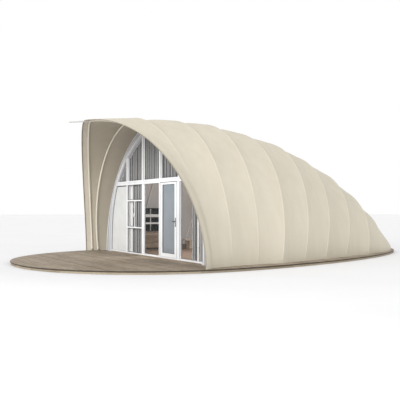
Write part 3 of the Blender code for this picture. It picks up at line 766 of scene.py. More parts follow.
@dataclass(frozen=True)
class ArchLine:
    """One arched line of the outer surface, from the deck on the right to the deck on the left."""

    foot_y: float
    crown_y: float
    height: float
    half_width: float
    side_power: float = 1.0
    prow_power: float = 0.0

    def point(self, angle: float, inset: float = 0.0) -> Vector:
        """Find a point of the arch.

        Args:
            angle: Angle along the arch, from the right foot.
            inset: Distance inwards in the X Z plane.

        Returns:
            The point.
        """
        across = math.cos(angle)
        rise = max(math.sin(angle), 0.0)
        lean = (1 - abs(across)) ** self.prow_power if self.prow_power else rise
        y = mix(self.foot_y, self.crown_y, lean)
        x = self.half_width * math.copysign(abs(across) ** self.side_power, across)
        place = Vector((x, y, GAP + (self.height - GAP) * rise))
        return place + self.inward(angle) * inset

    def inward(self, angle: float) -> Vector:
        """Return the direction into the tent, level at the feet."""
        across = -math.cos(angle) / self.half_width
        return Vector((across, 0.0, -math.sin(angle) / self.height)).normalized()

    def towards(self, other: "ArchLine", share: float) -> "ArchLine":
        """Find the arch that lies between this one and another.

        Args:
            other: Arch at the far end.
            share: Share of the way there.

        Returns:
            The arch, with plain powers.
        """
        return ArchLine(
            mix(self.foot_y, other.foot_y, share),
            mix(self.crown_y, other.crown_y, share),
            mix(self.height, other.height, share),
            mix(self.half_width, other.half_width, share),
        )


@dataclass(frozen=True)
class TentForm:
    """The arched lines of the tent and the sagging cloth between them."""

    hood_edge: ArchLine = ArchLine(-0.49, -1.97, 3.70, 3.64, 0.925, 0.86)
    rim: ArchLine = ArchLine(-0.31, -1.81, 3.725, 3.55, 0.96, 0.86)
    ribs: tuple[ArchLine, ...] = (
        ArchLine(-0.15, -0.59, 3.855, 3.43, 1.10),
        ArchLine(0.48, 0.53, 3.865, 3.30),
        ArchLine(1.30, 1.59, 3.84, 3.24),
        ArchLine(2.05, 2.68, 3.665, 3.27),
        ArchLine(2.95, 3.79, 3.45, 3.12),
        ArchLine(3.86, 4.81, 3.095, 2.94),
        ArchLine(4.90, 5.85, 2.66, 2.69),
        ArchLine(6.12, 6.70, 2.135, 2.43),
        ArchLine(7.13, 7.51, 1.535, 2.04),
    )
    tail_length: float = 2.05
    tail_height_powers: Pair = (0.69, 0.95)
    tail_width_powers: Pair = (1.32, 0.51)
    cloth: float = 0.006
    pole: float = 0.025
    sag_ratio: float = 0.055
    sag_at_feet: float = 0.4
    sag_at_crown: float = -0.05
    crown_power: int = 6
    dip_at_crown: float = 0.77
    dip_place: float = 1 / 6
    steps: int = 112

    def angles(self) -> list[float]:
        """Return the angles of an arch's points."""
        return [math.pi * step / self.steps for step in range(self.steps + 1)]

    def tail_arch(self, share: float) -> ArchLine:
        """Find an arched line of the tail.

        Args:
            share: Share of the tail's length.

        Returns:
            The line, which closes down to nothing at the end.
        """
        last = self.ribs[-1]
        end_y = last.foot_y + self.tail_length
        height_first, height_second = self.tail_height_powers
        width_first, width_second = self.tail_width_powers
        return ArchLine(
            mix(last.foot_y, end_y, share),
            mix(last.crown_y, end_y, share),
            last.height * (1 - share ** height_first) ** height_second,
            last.half_width * (1 - share ** width_first) ** width_second,
        )

    def sag_share(self, angle: float) -> float:
        """Return how much of the full sag the cloth has at an angle; below zero it crowns outwards."""
        rise = max(math.sin(angle), 0.0)
        return mix(self.sag_at_feet, 1.0, rise) - (1 - self.sag_at_crown) * rise ** self.crown_power

    def dip_share(self, angle: float) -> float:
        """Return how far the cloth dips just behind a pole, as a share of the full sag."""
        return self.dip_at_crown * max(math.sin(angle), 0.0) ** self.crown_power

    def dip_form(self, share: float) -> float:
        """Return the dip's form along a bay, which is one at its deepest place."""
        fall = 1 / self.dip_place - 1
        return share * (1 - share) ** fall / (self.dip_place * (1 - self.dip_place) ** fall)

    def bay_point(self, front: ArchLine, back: ArchLine, share: float, angle: float,
                  depth: float = 0.0) -> Vector:
        """Return a point of the cloth between two arches.

        Args:
            front: Arch at the front.
            back: Arch at the back.
            share: Place between them, from 0 to 1.
            angle: Angle along the arches.
            depth: Distance inwards from the outer face.

        Returns:
            The point.
        """
        start = front.point(angle)
        end = back.point(angle)
        dip = self.dip_share(angle) * self.dip_form(share) if front in self.ribs else 0.0
        slack = self.sag_share(angle) * 4 * share * (1 - share) + dip
        sag = self.sag_ratio * (end - start).length * slack
        return start.lerp(end, share) + front.towards(back, share).inward(angle) * (sag + depth)

    def pole_path(self, before: ArchLine, arch: ArchLine, after: ArchLine) -> list[Vector]:
        """Return the middle line of the pole under an arch's seam.

        Args:
            before: Arch in front of it.
            arch: The arch itself.
            after: Arch behind it.

        Returns:
            Points from the right foot to the left foot.
        """
        path = []
        step = math.pi / self.steps
        near = 0.01
        plain_fall = 4.0
        for angle in self.angles():
            place = arch.point(angle)
            from_front = (place - before.point(angle)).normalized()
            to_back = (after.point(angle) - place).normalized()
            along = arch.point(min(angle + step, math.pi)) - arch.point(max(angle - step, 0.0))
            down = (from_front + to_back).cross(along).normalized()
            if down.dot(arch.inward(angle)) < 0:
                down = -down
            fall = plain_fall * self.sag_share(angle) + self.dip_share(angle) * self.dip_form(near) / near
            turn = from_front.angle(to_back) / 2 + math.atan(self.sag_ratio * max(plain_fall, fall))
            path.append(place + down * ((self.cloth + self.pole) / math.cos(turn) + GAP))
        return path


@dataclass
class Membrane:
    """The hood, the eight bays and the tail, with seam bands, hems and the rope in the hood's edge."""

    form: TentForm
    finishes: Finishes
    bay_steps: int = 14
    lip_steps: int = 3
    band_width: float = 0.034
    band_rise: float = 0.003
    band_lift: float = 0.0008
    band_section: Sequence[Pair] = (
        (-1.0, 0.2), (-0.9, 0.8), (-0.5, 1.0), (-0.1, 1.0), (0.05, 0.8), (0.15, 0.2),
    )
    hem_height: float = 0.075
    rope_inset: float = 0.015
    rope_radius: float = 0.014
    tail_shares: tuple[float, ...] = (
        0, 0.04, 0.09, 0.15, 0.22, 0.3, 0.39, 0.48, 0.57, 0.66, 0.74, 0.81, 0.87, 0.92, 0.955, 0.975,
    )

    def build(self) -> None:
        """Build every piece of cloth."""
        ribs = self.form.ribs
        # The hood's lining is painted shade; the lip rows at its front take painted light
        shaded_hood_lining = self.finishes.shaded_hood_lining
        room_lining = self.finishes.room_lining
        hood = self.rows([self.form.hood_edge, self.form.rim, ribs[0]])
        self.cloth_piece("hood_cloth", hood, "hood_membrane", shaded_hood_lining, self.lip_steps)
        for number in range(1, len(ribs)):
            bay = self.rows(ribs[number - 1:number + 1])
            lining = room_lining if number > 1 else shaded_hood_lining
            self.cloth_piece(f"bay_cloth_{number}", bay, f"bay_membrane_{number}", lining)
        self.cloth_piece("tail_cloth", self.tail_rows(), "tail_membrane", room_lining)
        self.build_bands()
        self.build_hems()
        self.build_edge_rope()

    def rows(self, stations: Sequence[ArchLine]) -> Nets:
        """Lay the cloth over a list of arches.

        Args:
            stations: Arches from front to back.

        Returns:
            The outer and the inner rows.
        """
        nets: Nets = ([], [])
        form = self.form
        last = len(stations) - 2
        for index, (front, back) in enumerate(zip(stations, stations[1:])):
            steps = self.lip_steps if back is form.rim else self.bay_steps
            for step in range(steps + (index == last)):
                share = step / steps
                for net, depth in zip(nets, (0.0, form.cloth)):
                    row = [form.bay_point(front, back, share, angle, depth) for angle in form.angles()]
                    net.append(row)
        return nets

    def tail_rows(self) -> Nets:
        """Return the rows of the tail, the last one dropped on the deck."""
        nets: Nets = ([], [])
        for net, depth in zip(nets, (0.0, self.form.cloth)):
            for share in self.tail_shares:
                arch = self.form.tail_arch(share)
                kept = min(depth, arch.height * 0.4)
                net.append([arch.point(angle, kept) for angle in self.form.angles()])
            drop = self.form.cloth - depth
            net.append([Vector((point.x, point.y + drop, GAP)) for point in net[-1]])
        return nets

    def cloth_piece(self, name: str, nets: Nets, node: str, lining: Material,
                    lip_rows: int = 0) -> None:
        """Args:
            name: Name of the piece.
            nets: Outer and inner rows.
            node: CAD node that it replaces.
            lining: Material of the inside.
            lip_rows: Number of rows at the front that the lip lining covers, lighter as painted light on the
                front lip.
        """
        made = Form()
        made.skins(*nets, (0, 1), lip_rows)
        materials = [self.finishes.membrane, lining]
        if lip_rows:
            materials.append(self.finishes.lit_lip_lining)
        piece = made.add(name, materials, Slot.MEMBRANE, replaces=[node], smooth=60)

    def build_bands(self) -> None:
        """Lay a welded seam along each ridge, on the side towards the hood; its cloth is a shade lighter
        than the membrane as a faint painted highlight.
        """
        form = self.form
        stations = [form.rim, *form.ribs, form.tail_arch(0.06)]
        for number, group in enumerate(zip(stations, stations[1:], stations[2:]), start=1):
            made = Form()
            made.skins(*self.band_rows(*group))
            made.add(f"ridge_seam_{number}", [self.finishes.seam], Slot.MEMBRANE, smooth=60)

    def band_rows(self, before: ArchLine, arch: ArchLine, after: ArchLine) -> Nets:
        """Return the outer and inner rows of the seam along an arch.

        Args:
            before: Arch in front of the seam.
            arch: Arch that carries the seam.
            after: Arch behind the seam.

        Returns:
            The outer and the inner rows.
        """
        outer: Net = []
        inner: Net = []
        for share, rise in self.band_section:
            reach = share * self.band_width
            front, back = (before, arch) if share < 0 else (arch, after)
            tops = []
            unders = []
            for angle in self.form.angles():
                along = reach / (back.point(angle) - front.point(angle)).length
                place = self.form.bay_point(front, back, along if share > 0 else 1 + along, angle)
                down = arch.inward(angle)
                tops.append(place - down * (self.band_rise * rise + self.band_lift))
                unders.append(place + down * self.band_rise)
            outer.append(tops)
            inner.append(unders)
        return outer, inner

    def build_hems(self) -> None:
        """Run a doubled hem along the feet on both sides."""
        form = self.form
        stations = [form.hood_edge, form.rim, *form.ribs]
        tail = [form.tail_arch(share) for share in self.tail_shares]
        places = [(pair, share) for pair in zip(stations, stations[1:]) for share in (0.0, 0.25, 0.5, 0.75)]
        places += [(pair, 0.0) for pair in zip(tail, tail[1:-2])]
        for name, left in (("right_foot_hem", False), ("left_foot_hem", True)):
            outer: Net = []
            inner: Net = []
            for level in (0.0, self.hem_height * 0.5, self.hem_height):
                pairs = [self.hem_point(*pair, share, level, left) for pair, share in places]
                outer.append([pair[0] for pair in pairs])
                inner.append([pair[1] for pair in pairs])
            made = Form()
            made.skins(outer, inner)
            made.add(name, [self.finishes.hem], Slot.MEMBRANE, smooth=30)

    def hem_point(self, front: ArchLine, back: ArchLine, share: float, level: float,
                  left: bool) -> tuple[Vector, Vector]:
        """Return the outer and the inner point of a hem.

        Args:
            front: Arch at the front of the bay.
            back: Arch at the back of the bay.
            share: Place between them, from 0 to 1.
            level: Height above the deck.
            left: Whether the hem runs along the left side.

        Returns:
            The two points.
        """
        angle = math.asin(min(level / mix(front.height, back.height, share), 0.6))
        angle = math.pi - angle if left else angle
        down = front.towards(back, share).inward(angle)
        place = self.form.bay_point(front, back, share, angle)
        return place - down * 0.0035, place + down * 0.002

    def build_edge_rope(self) -> None:
        """Sew a thick rope with a bound cover into the front edge of the hood, darker than the cloth as
        painted shade on the edge's face.
        """
        edge = self.form.hood_edge
        behind = Vector((0, self.form.cloth, 0))
        path = [edge.point(angle, self.rope_inset) + behind for angle in self.form.angles()]
        made = Form()
        made.tube(path, self.rope_radius, 10, level_ends=True)
        made.add("hood_edge_rope", [self.finishes.shaded_binding], Slot.MEMBRANE, smooth=60)


@dataclass
class Poles:
    """The sleeved poles with their foot shoes, and the rod at the hood's crown."""

    form: TentForm
    finishes: Finishes
    rod_length: float = 0.56
    rod_radius: float = 0.018
    rod_tilt: float = math.radians(8)

    def build(self) -> None:
        """Build the rim pole, the nine poles behind it and the rod."""
        form = self.form
        stations = [form.hood_edge, form.rim, *form.ribs, form.tail_arch(0.15)]
        names = [("rim_tube", "rim_pole")]
        names += [(f"pole_tube_{number}", f"arch_pole_{number}") for number in range(1, 10)]
        shoes = Form()
        for (name, node), group in zip(names, zip(stations, stations[1:], stations[2:])):
            path = form.pole_path(*group)
            made = Form()
            made.tube(path, form.pole, 16, level_ends=True)
            # Both sleeve finishes are lighter than the cloth around them as painted light
            sleeve = self.finishes.sleeve if group[1].foot_y < 0 else self.finishes.lit_room_sleeve
            made.add(name, [sleeve], Slot.POLE_SLEEVE, replaces=[node], smooth=60)
            for foot, side in ((path[0], 1), (path[-1], -1)):
                self.add_shoe(shoes, foot, side)
        shoes.add("pole_shoes", [self.finishes.shoe], Slot.HINGE_STEEL)
        self.build_rod(form.pole_path(form.hood_edge, form.rim, form.ribs[0]))

    def add_shoe(self, made: Form, foot: Vector, side: int) -> None:
        """Add the plate, collar and bolts that hold a pole's foot.

        Args:
            made: Form that takes the shoe.
            foot: Middle of the pole's foot.
            side: Way to the outside along X, 1 or -1.
        """
        plate_half = 0.045
        plate_top = 0.007
        sunk = 0.006
        bolt = [(0.008, 0.0), (0.008, 0.006), (0.0065, 0.008)]
        collar = [(0.032, 0.0), (0.028, 0.006), (0.028, 0.05), (0.0265, 0.052)]
        low_x, high_x = sorted((foot.x + side * 0.026, foot.x - side * 0.085))
        made.box((low_x, foot.y - plate_half, GAP), (high_x, foot.y + plate_half, plate_top), 0.002)
        for along in (-0.03, 0.03):
            made.lathe(Vector((foot.x - side * 0.065, foot.y + along, sunk)), UP, bolt, 6)
        made.lathe(Vector((foot.x - side * 0.002, foot.y, sunk)), UP, collar, 20)

    def build_rod(self, path: Sequence[Vector]) -> None:
        """Make the rod with its collar and rounded tip.

        Args:
            path: Middle line of the pole that carries it at the crown.
        """
        crown = path[len(path) // 2]
        reach = Vector((0, -math.cos(self.rod_tilt), -math.sin(self.rod_tilt)))
        radius = self.rod_radius
        collar = radius * 1.5
        start = self.form.pole * 0.8
        end = self.form.pole + self.rod_length
        profile = [(collar, start), (collar, start + 0.03), (radius, start + 0.036)]
        profile += [(radius, end - 0.012), (radius * 0.85, end - 0.004), (radius * 0.5, end)]
        made = Form()
        made.lathe(crown, reach, profile, 20)
        made.add("crown_rod_piece", [self.finishes.rod], Slot.ROD_METAL, replaces=["crown_rod"])


# The deck and the room's floor

@dataclass
class BoardField:
    """Boards that run across, cut to a curved outline."""

    half_width: Callable[[float], float]
    front_y: float
    back_y: float
    pitch: float
    gap: float
    thickness: float
    top: float
    joints: Joints
    chamfer: float = 0.002
    least_width: float = 0.02
    least_half: float = 0.03
    joint_margin: float = 0.25

    def build(self, name: str, materials: Sequence[Material], slot: Slot, node: str) -> None:
        """Make all boards as one piece.

        Args:
            name: Name of the piece.
            materials: Timber finishes of the faces and the edges.
            slot: Material slot of the record.
            node: CAD node that it replaces.
        """
        made = Form()
        count = math.ceil((self.back_y - self.front_y) / self.pitch)
        for number in range(count):
            low = self.front_y + number * self.pitch
            high = min(low + self.pitch - self.gap, self.back_y)
            if high - low >= self.least_width:
                self.add_board(made, low, high, self.joints[number % len(self.joints)])
        made.add(name, materials, slot, replaces=[node], smooth=20)

    def add_board(self, made: Form, low: float, high: float, joints: Sequence[float]) -> None:
        """Add one row of boards.

        Args:
            made: Form that takes the boards.
            low: Front edge of the row.
            high: Back edge of the row.
            joints: Places across the deck where boards meet end to end.
        """
        levels = [mix(low, high, share) for share in (0.0, 0.25, 0.5, 0.75, 1.0)]
        widths = [max(self.half_width(level), self.least_half) for level in levels]
        cuts = [x for x in joints if abs(x) < min(widths) - self.joint_margin]
        right = list(zip(widths, levels))
        left = [(-x, y) for x, y in reversed(right)]
        edges = [left] + [[(x, high), (x, low)] for x in cuts] + [right]
        for start, end in zip(edges, edges[1:]):
            shift_start = self.gap / 4 if start is not left else 0.0
            shift_end = self.gap / 4 if end is not right else 0.0
            first = [(x + shift_start, y) for x, y in start]
            second = [(x - shift_end, y) for x, y in (end if end is right else reversed(end))]
            bottom = self.top - self.thickness
            made.prism(first + second, bottom, self.top, chamfer=self.chamfer, side_finish=1)


@dataclass
class Deck:
    """The oval deck: boards, a bent fascia in lengths and joists below, with the room's floor on top."""

    form: TentForm
    finishes: Finishes
    length: float = 13.23
    width: float = 7.46
    front_length: float = 4.21
    front_power: float = 2.06
    rear_power: float = 1.77
    middle_y: float = 0.45
    height: float = 0.081
    board: float = 0.022
    shadow_gap: float = 0.012
    fascia_lengths: int = 12
    fascia_faces: Pair = (0.022, 0.044)
    joist_half: float = 0.022
    joist_pitch: float = 0.44
    ledger_places: tuple[float, ...] = (-2.6, -0.9, 0.8, 2.5, 4.2, 5.9, 7.6)
    board_joints: Joints = ((-2.1, 1.35), (-0.75, 2.55), (-2.7, 0.45), (-1.35, 1.95))
    room_front: float = 0.1006
    room_front_half: float = 2.95
    room_joints: Joints = ((-1.2, 1.4), (-2.0, 0.3), (-0.5, 2.1))
    threshold_half: float = 2.68

    def reach(self, rear: bool, inset: float) -> Pair:
        """Return the oval's length before or behind its widest place, and its power there."""
        if rear:
            return self.length - self.front_length - inset, self.rear_power
        return self.front_length - inset, self.front_power

    def half_width(self, y: float, inset: float = 0.0) -> float:
        """Return half the deck's width at a place along it.

        Args:
            y: Place along the deck.
            inset: Distance inwards from the deck's edge.

        Returns:
            Half the width there, or nothing beyond the ends.
        """
        reach, power = self.reach(y > self.middle_y, inset)
        share = min(abs(y - self.middle_y) / reach, 1.0)
        return (self.width / 2 - inset) * (1 - share ** power) ** (1 / power)

    def outline_point(self, turn: float, inset: float) -> Vector:
        """Return a point of the oval.

        Args:
            turn: Angle about the widest place, from the right over the back.
            inset: Distance inwards from the deck's edge.

        Returns:
            The point, level with the boards.
        """
        across = math.cos(turn)
        along = math.sin(turn)
        reach, power = self.reach(along > 0, inset)
        x = (self.width / 2 - inset) * math.copysign(abs(across) ** (2 / power), across)
        y = reach * math.copysign(abs(along) ** (2 / power), along)
        return Vector((x, self.middle_y + y, 0.0))

    def build(self) -> None:
        """Build boards, fascia, joists and the room's floor."""
        # The boards' side faces take the dark finish: end grain and painted shade
        edge = self.finishes.board_edge_grain_and_shade
        front = self.middle_y - self.front_length
        boards = BoardField(self.half_width, front, front + self.length, pitch=0.145, gap=0.006,
                            thickness=self.board, top=0.0, joints=self.board_joints)
        boards.build("deck_board_rows", [self.finishes.deck, edge], Slot.DECK_TIMBER, "deck_boards")
        self.build_base()
        self.build_threshold()
        back = self.form.ribs[-1].foot_y
        floor = BoardField(self.room_half_width, self.room_front, back, pitch=0.16, gap=0.002,
                           thickness=0.0135, top=0.014, joints=self.room_joints, chamfer=0.0012)
        floor.build("room_floor_boards", [self.finishes.floor, edge], Slot.FLOOR_TIMBER, "room_floor")

    def build_threshold(self) -> None:
        """Lay the low timber strip along the foot of the glazed front."""
        front, bend, back = -0.020, -0.014, -0.0006
        outline = [(front, GAP), (front, 0.030), (bend, 0.036), (back, 0.036), (back, GAP)]
        made = Form()
        made.prism(outline, -self.threshold_half, self.threshold_half, Axis.X, chamfer=0.001)
        made.add("threshold_strip", [self.finishes.deck], Slot.DECK_TIMBER)

    def room_half_width(self, y: float) -> float:
        """Find half the width of the room's floor.

        Args:
            y: Place along the floor.

        Returns:
            Half the width there.
        """
        stops = [(self.room_front - GAP, self.room_front_half)]
        stops += [(rib.foot_y, rib.half_width - 0.16) for rib in self.form.ribs[1:]]
        for (y_low, low), (y_high, high) in zip(stops, stops[1:]):
            if y <= y_high:
                return mix(low, high, (y - y_low) / (y_high - y_low))
        return stops[-1][1]

    def build_base(self) -> None:
        """Make the fascia in bent lengths and the joists and ledgers under the boards."""
        made = Form()
        steps = 16
        butt = 0.0006
        for number in range(self.fascia_lengths):
            shares = [mix(butt, 1 - butt, step / steps) for step in range(steps + 1)]
            turns = [2 * math.pi * (number + share) / self.fascia_lengths for share in shares]
            made.loft([self.fascia_section(turn) for turn in turns])
        for number in range(-8, 9):
            self.add_joist(made, number * self.joist_pitch)
        low = 0.004 - self.height
        for y in self.ledger_places:
            half = self.half_width(y, 0.06) - 0.02
            front, back = y - self.joist_half, y + self.joist_half
            made.box((-half, front, low), (half, back, -self.board - GAP), 0.002, 1)
        materials = [self.finishes.fascia, self.finishes.joist]
        made.add("deck_underframe", materials, Slot.EDGE_TIMBER, replaces=["deck_base"], smooth=25)

    def fascia_section(self, turn: float) -> list[Vector]:
        """Find the fascia's section, with its outer edges eased.

        Args:
            turn: Angle of the oval.

        Returns:
            Six corners of the section.
        """
        ease = 0.002
        near, back = [self.outline_point(turn, inset) for inset in self.fascia_faces]
        eased = near.lerp(back, 0.12)
        low = -self.height
        high = -self.board - self.shadow_gap
        levels = (low + ease, high - ease, high, high, low, low)
        return [point + UP * level for point, level in zip((near, near, eased, back, back, eased), levels)]

    def add_joist(self, made: Form, x: float) -> None:
        """Add one joist that runs the length of the deck.

        Args:
            made: Form that takes the joist.
            x: Place across the deck.
        """
        places = [self.middle_y - self.front_length + 0.05 * step for step in range(264)]
        inside = [y for y in places if self.half_width(y, 0.06) > abs(x) + 0.03]
        if inside:
            low = (x - self.joist_half, inside[0], 0.001 - self.height)
            made.box(low, (x + self.joist_half, inside[-1], -self.board - GAP * 2), 0.002, 1)


# The glazed front

@dataclass(frozen=True)
class GlazingLine:
    """Inner line of the front's arched frame."""

    half: float = 2.70
    height: float = 3.65

    def half_width(self, z: float) -> float:
        """Return half the width at a height."""
        return self.half * max(1 - (z / self.height) ** 3, 0.0) ** 0.8

    def height_at(self, x: float) -> float:
        """Return the height over a place across the front."""
        return self.height * (1 - (abs(x) / self.half) ** 1.25) ** (1 / 3)

    def path(self, steps: int = 48, low: float = 0.0) -> Outline:
        """Return points of the line from the right foot over the crown to the left.

        Args:
            steps: Number of parts of each half.
            low: Height that the line starts at.

        Returns:
            Pairs of X and Z.
        """
        first = math.asin(low / self.height)
        rises = [math.sin(mix(first, math.pi / 2, step / steps)) for step in range(steps + 1)]
        right = [(self.half_width(self.height * rise), self.height * rise) for rise in rises]
        return right + [(-x, z) for x, z in reversed(right[:-1])]

    def normals(self, path: Outline) -> list[Vector]:
        """Find the outward directions along a path.

        Args:
            path: Pairs of X and Z from the right foot to the left foot.

        Returns:
            One direction in X Z for each point, level at the feet.
        """
        found = []
        last = len(path) - 1
        for index in range(len(path)):
            before = Vector(path[max(index - 1, 0)])
            after = Vector(path[min(index + 1, last)])
            way = (after - before).normalized()
            found.append(Vector((way.y, -way.x)))
        found[0] = Vector((1, 0))
        found[-1] = Vector((-1, 0))
        return found


@dataclass
class GlazedFront:
    """The arched frame with its closing strip, bars, beads, panel, panes and window latch.

    The two sections are pairs of distance outwards from the glazing line and place in Y.
    """

    form: TentForm
    finishes: Finishes
    line: GlazingLine = field(default_factory=GlazingLine)
    bar_spacing: float = 1.04
    bar_half: float = 0.035
    depth: float = 0.08
    sill: float = 0.07
    transom: Pair = (2.08, 2.20)
    lean: float = 0.10
    door_post: float = 0.135
    window_levels: Pair = (0.815, 1.61)
    rail_half: float = 0.02
    latch_x: float = -1.04
    frame_reach: float = 0.069
    frame_section: Sequence[Pair] = (
        (0.044, 0.0), (0.067, 0.0), (0.07, 0.003), (0.07, 0.08), (-0.014, 0.08),
        (-0.014, 0.034), (-0.011, 0.031), (0.0, 0.031), (0.0, 0.012),
    )
    bead_section: Sequence[Pair] = (
        (0.050, -0.005), (0.064, -0.005), (0.068, -0.001), (0.068, 0.004), (0.046, 0.004), (0.046, -0.001),
    )

    def bar_edges(self, index: int) -> Pair:
        """Return the left and right faces of an upright bar, counted from the left."""
        middle = (index - 1.5) * self.bar_spacing
        return middle - self.bar_half, middle + self.bar_half

    def build(self) -> None:
        """Build the front and dress the CAD nodes that stay."""
        white = self.finishes.frame_white
        for name in ("front_sill", "front_bars", "window_rails"):
            dress_node(name, white, 0.003)
        dress_node("white_panel", self.finishes.panel, 0.002)
        for name in ("side_glass", "window_glass", "fixed_glass"):
            dress_node(name, self.finishes.glass)
        self.build_arch_frame()
        self.build_closing_strip()
        self.build_upper_panes()
        self.build_beads()
        self.build_panel_joints()
        self.build_window_gaskets()
        self.build_door_seal()
        self.build_transom_strip()
        self.build_latch()

    def build_arch_frame(self) -> None:
        """Make the arched frame with its rebate and a rounded outer bead; the frame's body is grey as
        painted shade under the hood, the bead white.
        """
        made = Form()
        path = self.line.path(low=GAP)
        for section, finish in ((self.frame_section, 1), (self.bead_section, 0)):
            rings = []
            for (x, z), normal in zip(path, self.line.normals(path)):
                across = [(x + normal.x * out, y, max(z + normal.y * out, GAP)) for out, y in section]
                rings.append([Vector(corner) for corner in across])
            made.loft(rings, finish)
        materials = [self.finishes.frame_white, self.finishes.frame_shade]
        made.add("arch_frame", materials, Slot.FRAME_PAINT, replaces=["front_arch_frame"])

    def membrane_edge(self, y: float, depth: float) -> Outline:
        """Return the cloth's line in an upright plane across the tent.

        Args:
            y: Place of the plane.
            depth: Distance inwards from the cloth's outer face.

        Returns:
            Pairs of X and Z from the right foot to the left foot.
        """
        front, back = self.form.ribs[0], self.form.ribs[1]
        line = []
        for angle in self.form.angles():
            start = front.point(angle)
            end = back.point(angle)
            share = (y - start.y) / (end.y - start.y)
            place = self.form.bay_point(front, back, share, angle, depth)
            line.append((place.x, place.z))
        return line

    @staticmethod
    def between(inner: Outline, outer: Outline, share: float, y: float) -> list[Vector]:
        """Return points a share of the way from one line to another, at a place in Y."""
        pairs = zip(inner, outer)
        return [Vector((mix(a[0], b[0], share), y, mix(a[1], b[1], share))) for a, b in pairs]

    def build_closing_strip(self) -> None:
        """Make the sheet between the frame and the cloth, with a trim along the cloth; the sheet's grey is
        partly painted shade under the hood.
        """
        made = Form()
        front, back = 0.02, 0.06
        path = self.line.path(self.form.steps // 2)
        moves = [normal * self.frame_reach for normal in self.line.normals(path)]
        inner = [(x + move.x, max(z + move.y, GAP)) for (x, z), move in zip(path, moves)]
        nets = []
        for y in (front, back):
            outer = self.membrane_edge(y + self.lean, self.form.cloth + 0.001)
            rows = [self.between(inner, outer, share, y + self.lean * share) for share in (0.0, 0.5, 1.0)]
            nets.append([[Vector((x, y, max(z, GAP))) for x, y, z in row] for row in rows])
        made.skins(*nets)
        for share, radius in ((0.45, 0.010), (0.97, 0.012)):
            y = front + self.lean * share
            outer = self.membrane_edge(y, self.form.cloth + 0.012)
            made.tube(self.between(inner, outer, share, y - radius * 0.5), radius, 8, 1, level_ends=True)
        materials = [self.finishes.strip, self.finishes.frame_white]
        made.add("closing_sheet", materials, Slot.CLOSING_STRIP, replaces=["front_closing_strip"], smooth=50)

    def upper_outline(self, left: float, right: float, low: float, lap: float) -> Outline:
        """Return the outline of an upper light between two places across the front.

        Args:
            left: Left end.
            right: Right end.
            low: Lower end.
            lap: Distance that the outline reaches beyond the arched line.

        Returns:
            Corners of the light.
        """
        half = self.line.half_width(low) + lap
        left = max(left, -half)
        right = min(right, half)
        count = 12
        outline = [(left, low), (right, low)]
        for step in range(count + 1):
            x = mix(right, left, step / count)
            height = self.line.height_at(min(abs(x), self.line.half - 0.01)) + lap
            outline.append((x, max(height, low + 0.01)))
        return outline

    def build_upper_panes(self) -> None:
        """Cut one pane for each upper light, behind the bars."""
        made = Form()
        low = self.transom[1] - 0.015
        front = self.depth + GAP
        for left, right in self.upper_lights(3.0):
            outline = self.upper_outline(left + 0.004, right - 0.004, low, lap=0.012)
            made.prism(outline, front, front + 0.006, Axis.Y, chamfer=0.0015)
        glass = [self.finishes.glass]
        made.add("upper_panes", glass, Slot.CLEAR_GLASS, replaces=["upper_glass"], smooth=20)

    def upper_lights(self, end: float) -> list[Pair]:
        """Return the left and right ends of the upper lights, between the middles of the bars."""
        ends = [-end, *[(index - 1.5) * self.bar_spacing for index in range(4)], end]
        return list(zip(ends, ends[1:]))

    def build_beads(self) -> None:
        """Put a white bead and a black gasket line around every light; the black line is partly painted
        shade at the frames' edges.
        """
        made = Form()
        play = 0.006
        for index in range(4):
            for x, side in zip(self.bar_edges(index), (-1, 1)):
                top = self.line.height_at(abs(x) + 0.02) - play
                self.bead(made, x, side, (self.transom[1] + play, top), (0.055, 0.078))
        for x, side in self.lower_sides():
            self.bead(made, x, side, (self.sill + play, self.transom[0] - play), (0.046, 0.066))
        made.add("glazing_beads", [self.finishes.frame_white, self.finishes.gasket], Slot.FRAME_PAINT)

    def lower_sides(self) -> list[tuple[float, int]]:
        """Return the upright faces of the fixed lower lights and the way each one faces."""
        edges = [self.bar_edges(index) for index in range(4)]
        return [(edges[1][1], 1), (edges[2][0], -1), (edges[3][1], 1)]

    def bead(self, made: Form, x: float, side: int, levels: Pair,
             depth: Pair) -> None:
        """Add an upright bead with its gasket beside a bar.

        Args:
            made: Form that takes the bead.
            x: Face of the bar.
            side: Way along X that the face looks, 1 or -1.
            levels: Lower and upper end.
            depth: Front and back.
        """
        start, edge, end = [x + side * width for width in (0.0, 0.014, 0.017)]
        made.box((min(start, edge), depth[0], levels[0]), (max(start, edge), depth[1], levels[1]))
        seal_front = depth[0] + 0.004
        made.box((min(edge, end), seal_front, levels[0]), (max(edge, end), depth[1], levels[1]), 0.001, 1)

    def panel_outline(self, side: float, curve: float, top: float) -> Outline:
        """Return the outline of the panel's face.

        Args:
            side: Distance from the bar and from the sill.
            curve: Distance from the arched frame.
            top: Distance from the transom.

        Returns:
            Corners of the face.
        """
        right = self.bar_edges(0)[0] - side
        low = self.sill + side
        high = self.transom[0] - top
        outline = [(right, low), (right, high)]
        for step in range(13):
            z = mix(high, low, step / 12)
            outline.append((-(self.line.half_width(z) - curve), z))
        return outline

    def build_panel_joints(self) -> None:
        """Set the white panel in a black gasket that shows under the transom and along the arched frame; the
        dark line is partly painted shade under the transom and along the frame's edge.
        """
        made = Form()
        gasket = self.panel_outline(side=0.002, curve=0.002, top=0.002)
        face = self.panel_outline(side=0.006, curve=0.030, top=0.030)
        made.prism(gasket, 0.0255, 0.0297, Axis.Y, chamfer=0.001, finish=1)
        made.prism(face, 0.0215, 0.0285, Axis.Y, chamfer=0.002)
        made.add("panel_face", [self.finishes.panel, self.finishes.gasket], Slot.WHITE_PANEL)

